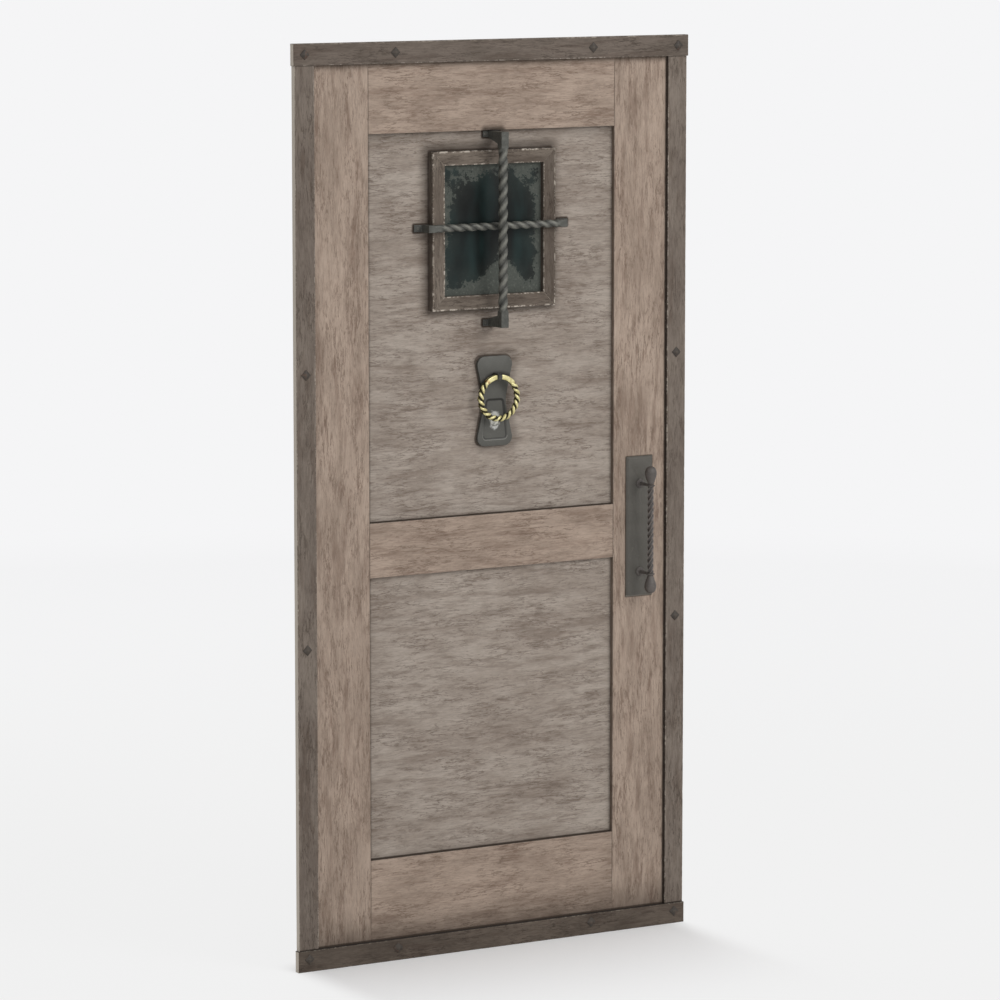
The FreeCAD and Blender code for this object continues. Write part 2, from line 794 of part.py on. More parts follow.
def make_stiles():
    """Two full-height uprights, grooved for the panels and mortised for the rails."""
    clear = size["mortise_clear"]
    for sign, name in ((-1, "hinge_stile"), (1, "lock_stile")):
        stile = new_body(name)
        block(stile, signed(sign, (stile_inner, leaf_half)), (leaf_front, leaf_back),
              (leaf_low, leaf_high))
        arris(stile, size["leaf_arris"], leaf_front)
        for low, high in panels.values():
            block(stile, signed(sign, (stile_inner - overrun, stile_inner + groove_deep)),
                  groove_depths, (low - groove_deep, high + groove_deep), cut=True)
        for rail in rails:
            low, high = tenon_heights(rail)
            block(stile, signed(sign, (stile_inner - overrun,
                                       stile_inner + size["tenon_long"] + clear * 2)),
                  (tenon_depths[0] - clear, tenon_depths[1] + clear),
                  (low - clear, high + clear), cut=True)
        if sign < 0:
            hinge_seat(stile, 1)
        else:
            front_holes(stile, pull_tails(), size["tail_thick"], leaf_front - overrun,
                        leaf_back + overrun)
            guide_screw_seat(stile)


def make_rails():
    """Three cross rails with a tenon at each end and grooves where a panel sits."""
    for name, (low, high) in rails.items():
        rail = new_body(name)
        block(rail, (-stile_inner, stile_inner), (leaf_front, leaf_back), (low, high))
        arris(rail, size["leaf_arris"], leaf_front)
        tenon_end = stile_inner + size["tenon_long"]
        block(rail, (-tenon_end, tenon_end), tenon_depths, tenon_heights(name))
        if name != "bottom_rail":
            block(rail, (-stile_inner - overrun, stile_inner + overrun), groove_depths,
                  (low - overrun, low + groove_deep), cut=True)
        if name != "top_rail":
            block(rail, (-stile_inner - overrun, stile_inner + overrun), groove_depths,
                  (high - groove_deep, high + overrun), cut=True)


def make_panels():
    """Two boards with a tongue all round; the upper one is cut through for the window."""
    for name, (low, high) in panels.items():
        panel = new_body(name)
        gap = size["panel_gap"]
        tongue = size["tongue_long"]
        block(panel, (-(stile_inner - gap), stile_inner - gap), (panel_front, panel_back),
              (low + gap, high - gap))
        block(panel, (-(stile_inner + tongue), stile_inner + tongue), tongue_depths,
              (low - tongue, high + tongue))
        if name == "upper_panel":
            inset = size["window_flange"] - size["window_fit"]
            front_prism(panel, window_outline(inset), panel_front - overrun,
                        panel_back + overrun, cut=True)
            front_holes(panel, knocker_tails(), size["tail_thick"], panel_front - overrun,
                        panel_back + overrun)
            foot_screw_seat(panel)


# Window: half sizes and the depths of its layers
window_half = size["window_wide"] / 2
window_high = top_rail_low - size["window_below_rail"]
window_low = window_high - size["window_long"]
window_front = panel_front - size["window_proud"]
glass_front = window_front + size["glass_setback"]
glass_back = glass_front + size["glass_thick"]
sight_inset = size["window_member"]
rebate_inset = size["window_member"] - size["window_lip"]
window_sides = ("left", "right", "low", "high")


def window_outline(inset):
    """The rectangle (X, Z) that lies the inset inside the window frame's outer edge."""
    return rectangle(-(window_half - inset), window_half - inset,
                     window_low + inset, window_high - inset)


def mitred(side, outer, inner):
    """A mitred strip (X, Z) on one side of the window, between two insets."""
    low_left, low_right, high_right, high_left = zip(window_outline(outer), window_outline(inner))
    corners = {"left": (low_left, high_left), "right": (low_right, high_right),
               "low": (low_left, low_right), "high": (high_left, high_right)}
    first, second = corners[side]
    return [first[0], second[0], second[1], first[1]]


def make_window():
    """Mitred frame members, one pane behind their lip, and glazing beads behind the pane."""
    labels = {"left": "left", "right": "right", "low": "bottom", "high": "top"}
    for side in window_sides:
        member = new_body("window_frame_" + labels[side])
        front_prism(member, mitred(side, zero, sight_inset), window_front, glass_front)
        front_face = float(window_front)
        ease(member, size["window_chamfer"],
             lambda one, two: same(one.y, front_face) and same(two.y, front_face)
             and (same(one.x, two.x) or same(one.z, two.z)))
        front_prism(member, mitred(side, zero, rebate_inset), glass_front, panel_front)
        front_prism(member, mitred(side, size["window_flange"], rebate_inset), panel_front,
                    panel_back)
    pane = new_body("glass_pane")
    front_prism(pane, window_outline(rebate_inset + size["glass_clear"]), glass_front,
                glass_back)
    for side in window_sides:
        bead = new_body("glazing_bead_" + labels[side])
        front_prism(bead, mitred(side, rebate_inset, sight_inset), glass_back,
                    glass_back + size["bead_thick"])
        back_face = float(glass_back + size["bead_thick"])
        ease(bead, size["bead_chamfer"],
             lambda one, two: same(one.y, back_face) and same(two.y, back_face)
             and at_sight_corner(one) and at_sight_corner(two))


def at_sight_corner(point):
    """True for a point at one of the four corners of the visible glass."""
    return any(same(point.x, float(across)) and same(point.z, float(height))
               for across, height in window_outline(sight_inset))


def twisted_square(side, length, pitch, wide_share=1, thick_share=1):
    """A square bar along +Z whose section turns once in each pitch, right-handed.

    Between its square ends the bar can be flattened to shares of its side.
    """
    turns = length / pitch
    steps = max(1, round(abs(turns) * 360 / TWIST_STEP_DEGREES))
    wires = []
    for step in range(steps + 1):
        turn = FreeCAD.Rotation(Vector(0, 0, 1), 360 * turns * step / steps)
        lift = Vector(0, 0, length * step / steps)
        square = step in (0, steps)
        wide = side / 2 if square else side / 2 * wide_share
        thick = side / 2 if square else side / 2 * thick_share
        corners = [turn.multVec(Vector(across, depth, 0)) + lift
                   for across, depth in ((wide, thick), (-wide, thick), (-wide, -thick),
                                         (wide, -thick))]
        wires.append(Part.makePolygon(corners + corners[:1]))
    return Part.makeLoft(wires, True, True)


def whole_quarters(length, pitch):
    """The pitch nearest to the wanted one that ends the twist square to where it starts."""
    quarters = max(1, round(length / pitch * SQUARE_SIDES))
    return length * SQUARE_SIDES / quarters


def grille_bar(side, span, past_low, past_high, leg_root, leg_reach, ear_long, side_ears):
    """A bar along +Z whose two ends bend back along +Y to feet with ears.

    The ears stand out to both sides, or else run on past the bar's ends.
    """
    half = side / 2
    plain_low = leg_root + past_low
    plain_high = leg_root + past_high
    twist_long = span - plain_low - plain_high
    twist = twisted_square(side, twist_long, whole_quarters(twist_long, float(size["bar_pitch"])),
                           twist_wide_share, twist_thick_share)
    twist.translate(Vector(0, 0, plain_low))
    foot = float(size["leg_foot"])
    foot_thick = float(size["foot_thick"])
    foot_half = half + ear_long
    low_plain = Part.makeBox(side, side, plain_low, Vector(-half, -half, 0))
    high_plain = Part.makeBox(side, side, plain_high, Vector(-half, -half, span - plain_high))
    pieces = [twist, low_plain, high_plain]
    for end, inward in ((0.0, 1), (span, -1)):
        points = [Vector(-half, -half, end), Vector(-half, leg_reach, end),
                  Vector(-half, leg_reach, end + inward * foot),
                  Vector(-half, half, end + inward * leg_root),
                  Vector(-half, -half, end + inward * leg_root)]
        if inward < 0:
            points.reverse()
        leg = Part.Face(Part.makePolygon(points + points[:1])).extrude(Vector(side, 0, 0))
        pieces.append(leg)
        if side_ears:
            ear = Part.makeBox(foot_half * 2, foot_thick, foot,
                               Vector(-foot_half, leg_reach - foot_thick,
                                      min(end, end + inward * foot)))
        else:
            ear = Part.makeBox(side, foot_thick, ear_long + foot,
                               Vector(-half, leg_reach - foot_thick,
                                      min(end - inward * ear_long, end + inward * foot)))
        pieces.append(ear)
    return pieces[0].fuse(pieces[1:]).removeSplitter()


twist_reach_share = math.hypot(twist_wide_share, twist_thick_share) / 2
upright_reach = size["upright_side"] * twist_reach_share
crossbar_reach = size["crossbar_side"] * twist_reach_share
crossbar_depth = window_front - size["bar_clear"] - crossbar_reach
upright_depth = crossbar_depth - crossbar_reach - size["bar_clear"] - upright_reach
crossbar_half = window_half + size["crossbar_past_window"]
crossbar_high = (window_low + window_high) / 2 + size["crossbar_above_middle"]
upright_low = window_low - size["upright_below_window"]
upright_high = window_high + size["upright_above_window"]
ear_middle = size["upright_side"] / 2 + size["upright_foot_long"] / 2


def foot_screw_places():
    """Screw places (X, Z) in the feet of both grille bars."""
    places = []
    for height in (upright_low + size["leg_foot"] / 2, upright_high - size["leg_foot"] / 2):
        places += [(ear_middle * sign, height) for sign in (-1, 1)]
    ear_end = crossbar_half + size["crossbar_foot_long"] / 2
    places += [(ear_end * sign, crossbar_high) for sign in (-1, 1)]
    return places


def foot_screw_seat(body):
    front_holes(body, foot_screw_places(), size["small_screw_shank"], panel_front - overrun,
                panel_front - size["foot_thick"] + size["small_screw_long"])


def drill(shape, places, face, screw_long, direction):
    """Cuts countersunk screw holes through a shape at points of its face."""
    shank = float(size["small_screw_shank"]) / 2
    head = float(size["small_screw_head"]) / 2
    cutters = []
    for point in places:
        cutters.append(Part.makeCylinder(shank, float(screw_long), point, direction))
        cutters.append(Part.makeCone(head, shank, head - shank, point, direction))
    return shape.cut(cutters).removeSplitter()


def make_grille():
    """Two twisted bars in front of the window, the upright one passing over the other."""
    foot_face = float(panel_front - size["foot_thick"])
    inward = Vector(0, 1, 0)
    points = [Vector(float(across), foot_face, float(height))
              for across, height in foot_screw_places()]
    upright = grille_bar(float(size["upright_side"]), float(upright_high - upright_low),
                         float(size["upright_plain_past_low_leg"]),
                         float(size["upright_plain_past_top_leg"]),
                         float(size["upright_leg_root"]), float(panel_front - upright_depth),
                         float(size["upright_foot_long"]), side_ears=True)
    upright.translate(Vector(0, float(upright_depth), float(upright_low)))
    crossbar = grille_bar(float(size["crossbar_side"]), float(crossbar_half * 2),
                          float(size["crossbar_plain_past_left_leg"]),
                          float(size["crossbar_plain_past_right_leg"]),
                          float(size["crossbar_leg_root"]),
                          float(panel_front - crossbar_depth),
                          float(size["crossbar_foot_long"]), side_ears=False)
    lay = FreeCAD.Rotation(Vector(0, 1, 0), 90)
    crossbar.Placement = FreeCAD.Placement(
        Vector(-float(crossbar_half), float(crossbar_depth), float(crossbar_high)), lay)
    screw_long = size["small_screw_long"]
    code_part("grille_upright", drill(upright, points, foot_face, screw_long, inward))
    code_part("grille_crossbar", drill(crossbar, points, foot_face, screw_long, inward))
    screw = screw_shape(screw_long, size["small_screw_shank"], size["small_screw_head"])
    screw_group("grille_screws", screw, [(tuple(point), inward) for point in points])


# Knocker
plate_back = panel_front
plate_front = plate_back - size["knocker_plate_thick"]
knocker_plate_high = window_low - (window_low - lock_rail_high
                                   - size["knocker_plate_long"]) * knocker_gap_share
knocker_plate_low = knocker_plate_high - size["knocker_plate_long"]
ring_depth = plate_front - size["ring_off_plate"]
pivot_high = knocker_plate_high - size["ring_pivot_below_plate_end"]
ring_centre_high = pivot_high - size["ring_diameter"] / 2
stud_high = ring_centre_high - size["ring_diameter"] / 2 - size["stud_below_ring"]
washer_back = size["washer_thick"]
nut_back = washer_back + size["nut_thick"]
tail_end = nut_back + size["tail_beyond_nut"]


def knocker_tails():
    """Places (X, Z) where the lug's and the strike stud's tails go through the panel."""
    return [(size["knocker_across"], pivot_high), (size["knocker_across"], stud_high)]


def make_knocker_plate():
    """An hourglass back plate with a sunk trapezoid field in its lower half."""
    plate = new_body("knocker_plate")
    across = size["knocker_across"]
    corner = size["knocker_plate_wide"] / 2
    waist = size["knocker_plate_waist"] / 2
    low = knocker_plate_low
    high = knocker_plate_high
    middle = (low + high) / 2
    recess_low = low + size["recess_above_plate_end"]
    recess_high = recess_low + size["recess_long"]
    front_prism(plate, [(across - corner, low), (across + corner, low),
                        (across + waist, middle), (across + corner, high),
                        (across - corner, high), (across - waist, middle)],
                plate_front, plate_back)
    ends = (float(low), float(high))
    ease(plate, size["knocker_plate_corner"],
         lambda one, two: through_edge(one, two) and any(same(one.z, end) for end in ends),
         "Fillet")
    ease(plate, size["knocker_plate_waist_round"],
         lambda one, two: through_edge(one, two) and same(one.z, float(middle)), "Fillet")
    front = float(plate_front)
    ease(plate, size["knocker_plate_ease"],
         lambda one, two: same(one.y, front) and same(two.y, front))
    low_half = size["recess_wide_low"] / 2
    high_half = size["recess_wide_high"] / 2
    front_prism(plate, [(across - low_half, recess_low), (across + low_half, recess_low),
                        (across + high_half, recess_high), (across - high_half, recess_high)],
                plate_front - overrun, plate_front + size["recess_deep"], cut=True)
    field_ends = (float(recess_low), float(recess_high))
    ease(plate, size["recess_corner"],
         lambda one, two: through_edge(one, two)
         and any(same(one.z, end) for end in field_ends), "Fillet")
    front_holes(plate, knocker_tails(), size["tail_thick"], plate_front - overrun,
                plate_back + overrun)


def through_edge(one, two):
    """True for an edge that runs along Y."""
    return same(one.x, two.x) and same(one.z, two.z)


def make_lug():
    """The iron lug that carries the ring, with a tail through the panel."""
    lug = new_body("knocker_lug")
    across = size["knocker_across"]
    half_wide = size["lug_wide"] / 2
    half_high = size["lug_high"] / 2
    nose = sketch_on(lug, "YZ_Plane", (zero, zero, across - half_wide))
    draw_circles(nose, [(ring_depth, pivot_high)], size["lug_high"])
    extrude(lug, nose, size["lug_wide"], False)
    block(lug, (across - half_wide, across + half_wide), (ring_depth, plate_front),
          (pivot_high - half_high, pivot_high + half_high))
    tail = sketch_on(lug, "XZ_Plane", (zero, zero, -(panel_back + tail_end)))
    draw_circles(tail, [(across, pivot_high)], size["tail_thick"])
    extrude(lug, tail, panel_back + tail_end - plate_front, False)
    bore = sketch_on(lug, "YZ_Plane", (zero, zero, across - half_wide - overrun))
    draw_circles(bore, [(ring_depth, pivot_high)],
                 size["ring_pin_thick"] + size["ring_pin_clear"] * 2)
    extrude(lug, bore, size["lug_wide"] + overrun * 2, True)


def make_stud():
    """A domed strike stud with a tail through the panel."""
    radius = float(size["stud_wide"]) / 2
    tail = float(size["tail_thick"]) / 2
    field = plate_front + size["recess_deep"]
    length = float(panel_back + tail_end - field)
    rise = float(size["stud_rise"] + size["recess_deep"])
    rim = rise * stud_rim_share
    cap = rise - rim
    ball = (radius ** 2 + cap ** 2) / (2 * cap)
    half_angle = math.asin(radius / ball) / 2
    shoulder = Vector(radius, -rim, 0)
    crown = Vector(0, -rise, 0)
    middle = Vector(ball * math.sin(half_angle), ball - rise - ball * math.cos(half_angle), 0)
    corners = [crown, Vector(0, length, 0), Vector(tail, length, 0), Vector(tail, 0, 0),
               Vector(radius, 0, 0), shoulder]
    edges = [Part.makeLine(one, two) for one, two in zip(corners, corners[1:])]
    edges.append(Part.Arc(shoulder, middle, crown).toShape())
    stud = Part.Face(Part.Wire(edges)).revolve(Vector(0, 0, 0), Vector(0, 1, 0), 360)
    code_part("strike_stud", stud,
              Vector(float(size["knocker_across"]), float(field), float(stud_high)))


def make_ring():
    """An open ring of twisted square bar, whose two plain ends grip the pivot pin."""
    radius = float(size["ring_diameter"]) / 2
    half = float(size["ring_section"]) / 2
    gap_angle = math.degrees(math.asin(float(size["ring_gap"]) / 2 / radius))
    plain_angle = math.degrees(float(size["ring_plain"]) / radius)
    centre = Vector(float(size["knocker_across"]), float(ring_depth), float(ring_centre_high))
    start = gap_angle
    end = 360 - gap_angle
    twist_start = start + plain_angle
    twist_end = end - plain_angle
    twist_long = math.radians(twist_end - twist_start) * radius
    quarters = round(twist_long / float(size["ring_pitch"]) * SQUARE_SIDES)
    twist_degrees = 360 / SQUARE_SIDES * quarters
    steps = quarters * round(360 / SQUARE_SIDES / TWIST_STEP_DEGREES)

    def section(angle, twist, tilt, wide_share=1, thick_share=1):
        """The section at a clock angle from the top; tilt turns the cut's plane."""
        clock = math.radians(angle)
        outward = Vector(math.sin(clock), 0, math.cos(clock))
        middle = centre + outward * radius
        turn = math.radians(twist)
        side_way = Vector(0, 1, 0)
        corners = []
        for out_sign, side_sign in ((1, 1), (-1, 1), (-1, -1), (1, -1)):
            wide = out_sign * wide_share
            thick = side_sign * thick_share
            out_part = wide * math.cos(turn) - thick * math.sin(turn)
            side_part = wide * math.sin(turn) + thick * math.cos(turn)
            corners.append(middle + outward * (half * out_part) + side_way * (half * side_part))
        if tilt:
            face_x = centre.x + tilt * float(size["ring_gap"]) / 2
            corners = [Vector(face_x, corner.y, corner.z) for corner in corners]
        return Part.makePolygon(corners + corners[:1])

    wires = []
    for step in range(RING_PLAIN_STEPS):
        angle = start + plain_angle * step / RING_PLAIN_STEPS
        wires.append(section(angle, 0, 1 if step == 0 else 0))
    wires.append(section(twist_start, 0, 0))
    for step in range(1, steps):
        share = step / steps
        wires.append(section(twist_start + (twist_end - twist_start) * share,
                             twist_degrees * share, 0, twist_wide_share, twist_thick_share))
    wires.append(section(twist_end, twist_degrees, 0))
    for step in range(1, RING_PLAIN_STEPS + 1):
        angle = twist_end + plain_angle * step / RING_PLAIN_STEPS
        wires.append(section(angle, twist_degrees, -1 if step == RING_PLAIN_STEPS else 0))
    ring = Part.makeLoft(wires, True, True)
    pin_radius = float(size["ring_pin_thick"]) / 2
    reach = float(size["ring_gap"]) / 2 + float(size["ring_pin_grip"])
    hole = Part.makeCylinder(pin_radius, reach * 2,
                             Vector(centre.x - reach, centre.y, float(pivot_high)),
                             Vector(1, 0, 0))
    code_part("knocker_ring", ring.cut(hole))


def make_ring_pin():
    pin = new_body("knocker_ring_pin")
    reach = size["ring_gap"] / 2 + size["ring_pin_grip"]
    sketch = sketch_on(pin, "YZ_Plane", (zero, zero, size["knocker_across"] - reach))
    draw_circles(sketch, [(ring_depth, pivot_high)], size["ring_pin_thick"])
    extrude(pin, sketch, reach * 2, False)


# Pull handle
pull_front = leaf_front - size["pull_plate_thick"]
pull_bar_depth = pull_front - size["pull_reach"]
pull_across = (stile_inner + opening_half) / 2
pull_plate_middle = lock_rail_middle + size["pull_plate_above_rail_middle"]
post_middle = pull_plate_middle - size["pull_post_below_plate_middle"]
post_heights = {"upper": post_middle + size["pull_post_spacing"] / 2,
                "lower": post_middle - size["pull_post_spacing"] / 2}


def pull_tails():
    return [(pull_across, height) for height in post_heights.values()]


def make_pull_plate():
    """A long plate with a bevel all round its front."""
    plate = new_body("pull_plate")
    half = size["pull_plate_wide"] / 2
    half_long = size["pull_plate_long"] / 2
    block(plate, (pull_across - half, pull_across + half), (pull_front, leaf_front),
          (pull_plate_middle - half_long, pull_plate_middle + half_long))
    arris(plate, size["pull_plate_bevel"], pull_front)
    front_holes(plate, pull_tails(), size["tail_thick"], pull_front - overrun,
                leaf_front + overrun)


def make_pull_post(name, height):
    """A forged post: tail through the stile, round rose, tapering shank and a flat eye."""
    post = new_body(name)
    back = leaf_back + tail_end - pull_front
    eye_edge = (size["pull_eye_wide"] + size["pull_neck"]) / 4 - size["pull_reach"]
    rose = size["pull_rose_wide"] / 2
    rose_thick = size["pull_rose_thick"]
    outline = [(zero, back), (size["tail_thick"] / 2, back), (size["tail_thick"] / 2, zero),
               (rose, zero), (rose, -(rose_thick / 2)), (rose * rose_front_share, -rose_thick),
               (size["pull_post_root"] / 2, -rose_thick),
               (size["pull_post_tip"] / 2, eye_edge), (zero, eye_edge)]
    turned(post, outline, (pull_across, pull_front, height), "Y")
    half = size["pull_eye_thick"] / 2
    eye = sketch_on(post, "XY_Plane", (zero, zero, height - half))
    draw_circles(eye, [(pull_across, pull_bar_depth)], size["pull_eye_wide"])
    extrude(post, eye, size["pull_eye_thick"], False)
    bore = sketch_on(post, "XY_Plane", (zero, zero, height - size["pull_post_root"]))
    draw_circles(bore, [(pull_across, pull_bar_depth)], size["pull_neck"])
    extrude(post, bore, size["pull_post_root"] * 2, True)


def make_pull_bar():
    """A twisted square grip between the eyes, with a round neck through each eye."""
    side = float(size["pull_bar_side"])
    low = float(post_heights["lower"] + size["pull_eye_thick"] / 2)
    high = float(post_heights["upper"] - size["pull_eye_thick"] / 2)
    twist = twisted_square(side, high - low, whole_quarters(high - low,
                                                            float(size["pull_bar_pitch"])))
    twist.translate(Vector(0, 0, low))
    eye = float(size["pull_eye_thick"])
    neck = Part.makeCylinder(float(size["pull_neck"]) / 2, high - low + eye * 2,
                             Vector(0, 0, low - eye))
    code_part("pull_bar", twist.fuse(neck),
              Vector(float(pull_across), float(pull_bar_depth), 0))


def make_finial(name, height, sign):
    """A pear-shaped end knob: narrow at the eye and full towards its tip."""
    radius = float(size["finial_wide"]) / 2
    length = float(size["finial_long"])
    neck = float(size["pull_neck"]) / 2
    collar = neck * finial_collar_share
    profile = Part.BSplineCurve()
    points = [Vector(collar, 0, 0)]
    points += [Vector(radius * out_share, 0, length * up_share)
               for out_share, up_share in finial_shares]
    points.append(Vector(0, 0, length))
    profile.interpolate(Points=points, InitialTangent=Vector(finial_flare_share, 0, 1),
                        FinalTangent=Vector(-1, 0, 0))
    wire = Part.Wire([Part.makeLine(Vector(0, 0, 0), Vector(collar, 0, 0)), profile.toShape(),
                      Part.makeLine(Vector(0, 0, length), Vector(0, 0, 0))])
    knob = Part.Face(wire).revolve(Vector(0, 0, 0), Vector(0, 0, 1), 360)
    if sign < 0:
        knob.rotate(Vector(0, 0, 0), Vector(1, 0, 0), 180)
    place = Vector(float(pull_across), float(pull_bar_depth),
                   float(height) + sign * float(size["pull_eye_thick"]) / 2)
    knob.translate(place)
    neck_cut = Part.makeCylinder(neck, float(size["pull_eye_thick"]) * 2,
                                 place - Vector(0, 0, float(size["pull_eye_thick"])))
    code_part(name, knob.cut(neck_cut))


def tail_places():
    """Where each through tail comes out at the back of the leaf, as (X, Y, Z)."""
    places = [(across, panel_back, height) for across, height in knocker_tails()]
    places += [(across, leaf_back, height) for across, height in pull_tails()]
    return places


def make_through_nuts():
    """Square nuts on washers that hold the four tails at the back of the leaf."""
    side = float(size["nut_across"])
    tail = float(size["tail_thick"]) / 2
    nuts = []
    washers = []
    for index, (across, back, height) in enumerate(tail_places()):
        centre = Vector(float(across), float(back), float(height))
        washer = Part.makeCylinder(float(size["washer_wide"]) / 2, float(size["washer_thick"]),
                                   centre, Vector(0, 1, 0))
        bore = Part.makeCylinder(tail, float(tail_end), centre, Vector(0, 1, 0))
        washers.append(washer.cut(bore))
        seat = centre + Vector(0, float(size["washer_thick"]), 0)
        nut = Part.makeBox(side, float(size["nut_thick"]), side,
                           seat - Vector(side / 2, 0, side / 2))
        nut = nut.makeChamfer(float(size["nut_chamfer"]),
                              [edge for edge in nut.Edges if edge.BoundBox.YMin > seat.y])
        nut.rotate(seat, Vector(0, 1, 0), NUT_TURN_DEGREES * (index + 1))
        nuts.append(nut.cut(bore))
    code_part("through_nuts", Part.makeCompound(nuts))
    code_part("through_washers", Part.makeCompound(washers))


# Slide bolt on the inside
bar_back = leaf_back + size["bolt_run_clear"]
bar_face = bar_back + size["bolt_bar_thick"]
strap_inner = bar_face + size["bolt_run_clear"]
strap_outer = strap_inner + size["strap_thick"]
strap_half_inner = size["bolt_bar_high"] / 2 + size["bolt_run_clear"]
strap_half_outer = strap_half_inner + size["strap_thick"]
strap_half_foot = strap_half_outer + size["strap_foot"]
keep_across = (jamb_inner + jamb_outer) / 2
bolt_tip = leaf_half - size["bolt_tip_inside_edge"]
bolt_tail = bolt_tip - size["bolt_bar_long"]
outer_guide_across = bolt_tip - size["guide_behind_tip"]
inner_guide_across = outer_guide_across - size["guide_spacing"]


def strap_screw_places(across):
    """The two screw places (X, Z) in a strap's feet."""
    rise = (strap_half_outer + strap_half_foot) / 2
    return [(across, lock_rail_middle + rise * sign) for sign in (-1, 1)]


def make_strap(name, across):
    """A bent strap that bridges the bolt and is screwed down through its two feet."""
    strap = new_body(name)
    high = lock_rail_middle
    thick_back = leaf_back + size["strap_thick"]
    outline = [(leaf_back, high - strap_half_foot), (thick_back, high - strap_half_foot),
               (thick_back, high - strap_half_outer), (strap_outer, high - strap_half_outer),
               (strap_outer, high + strap_half_outer), (thick_back, high + strap_half_outer),
               (thick_back, high + strap_half_foot), (leaf_back, high + strap_half_foot),
               (leaf_back, high + strap_half_inner), (strap_inner, high + strap_half_inner),
               (strap_inner, high - strap_half_inner), (leaf_back, high - strap_half_inner)]
    half = size["guide_wide"] / 2
    side_prism(strap, outline, across - half, across + half)
    screw_holes(strap, "XZ_Plane", (zero, zero, -thick_back), strap_screw_places(across),
                size["small_screw_shank"], size["small_screw_head"], size["small_screw_long"],
                reversed_hole=True)


def guide_screw_places():
    return strap_screw_places(inner_guide_across) + strap_screw_places(outer_guide_across)


def guide_screw_seat(body):
    front_holes(body, guide_screw_places(), size["small_screw_shank"],
                leaf_back + size["strap_thick"] - size["small_screw_long"], leaf_back + overrun)


def keep_screw_seat(body):
    front_holes(body, strap_screw_places(keep_across), size["small_screw_shank"],
                leaf_back + size["strap_thick"] - size["small_screw_long"], leaf_back + overrun)


def make_slide_bolt():
    make_strap("bolt_inner_guide", inner_guide_across)
    make_strap("bolt_outer_guide", outer_guide_across)
    make_strap("bolt_keep", keep_across)
    screw = screw_shape(size["small_screw_long"], size["small_screw_shank"],
                        size["small_screw_head"])
    face = leaf_back + size["strap_thick"]
    inward = Vector(0, -1, 0)
    screw_group("bolt_guide_screws", screw,
                [((across, face, height), inward) for across, height in guide_screw_places()])
    screw_group("bolt_keep_screws", screw,
                [((across, face, height), inward)
                 for across, height in strap_screw_places(keep_across)])
    bar = new_body("bolt_bar")
    half = size["bolt_bar_high"] / 2
    nose = size["bolt_bar_nose"]
    tip = bolt_tip
    high = lock_rail_middle
    front_prism(bar, [(bolt_tail, high - half), (tip - nose, high - half),
                      (tip, high - half + nose), (tip, high + half - nose),
                      (tip - nose, high + half), (bolt_tail, high + half)],
                bar_back, bar_face)
    knob_across = (inner_guide_across + size["guide_wide"] / 2
                   + size["bolt_knob_neck"] / 2 + size["bolt_run_clear"] * 2)
    front_holes(bar, [(knob_across, high)], size["bolt_knob_tang"], bar_back - overrun,
                bar_face + overrun)
    knob = new_body("bolt_knob")
    tang = size["bolt_knob_tang"] / 2
    neck = size["bolt_knob_neck"] / 2
    ball = size["bolt_knob_wide"] / 2
    long = size["bolt_knob_long"]
    outline = [(zero, -size["bolt_bar_thick"]), (tang, -size["bolt_bar_thick"]),
               (tang, zero), (neck, zero), (neck, long * bolt_knob_neck_share)]
    outline += [(ball * out_share, long * up_share) for out_share, up_share in bolt_knob_shares]
    outline.append((zero, long))
    turned(knob, outline, (knob_across, bar_face, high), "Y")


def build():
    make_casing()
    make_nails()
    make_jambs()
    make_frame_screws()
    make_hinges()
    make_stiles()
    make_rails()
    make_panels()
    make_window()
    make_grille()
    make_knocker_plate()
    make_lug()
    make_stud()
    make_ring()
    make_ring_pin()
    make_pull_plate()
    for name, height in post_heights.items():
        make_pull_post("pull_%s_post" % name, height)
    make_pull_bar()
    make_finial("pull_upper_finial", post_heights["upper"], 1)
    make_finial("pull_lower_finial", post_heights["lower"], -1)
    make_through_nuts()
    make_slide_bolt()


def check_and_write():
    """Stops on any failed object, then writes each sub-part to its own file."""
    doc.recompute()
    for item in doc.Objects:
        if "Invalid" in item.State or "Error" in item.State:
            raise RuntimeError("%s is in state %s" % (item.Label, item.State))
    os.makedirs("parts", exist_ok=True)
    for item in parts:
        shape = item.Shape
        if shape.isNull() or not shape.isValid() or not shape.Solids:
            raise RuntimeError("%s has no valid solid" % item.Label)
        print("%-28s solids %2d volume %12.1f" % (item.Label, len(shape.Solids), shape.Volume))
        shape.exportStep("parts/%s.step" % item.Label)


build()
check_and_write()
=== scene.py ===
import math

import bmesh
import bpy
from mathutils import Euler, Matrix, Vector, noise


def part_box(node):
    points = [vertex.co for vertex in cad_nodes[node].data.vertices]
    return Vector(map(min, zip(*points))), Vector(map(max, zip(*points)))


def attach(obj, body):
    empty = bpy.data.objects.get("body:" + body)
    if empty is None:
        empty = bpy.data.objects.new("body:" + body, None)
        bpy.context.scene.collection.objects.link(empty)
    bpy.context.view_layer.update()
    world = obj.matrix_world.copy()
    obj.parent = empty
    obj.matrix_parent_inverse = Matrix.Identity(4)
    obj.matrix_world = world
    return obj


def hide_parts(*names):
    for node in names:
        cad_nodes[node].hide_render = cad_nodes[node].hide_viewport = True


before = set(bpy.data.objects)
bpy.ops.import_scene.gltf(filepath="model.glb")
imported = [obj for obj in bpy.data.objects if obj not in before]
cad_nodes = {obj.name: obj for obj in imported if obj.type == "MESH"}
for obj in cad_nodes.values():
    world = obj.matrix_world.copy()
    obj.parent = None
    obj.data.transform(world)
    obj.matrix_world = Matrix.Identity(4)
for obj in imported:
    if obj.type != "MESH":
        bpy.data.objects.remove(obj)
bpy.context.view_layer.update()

MM = 0.001

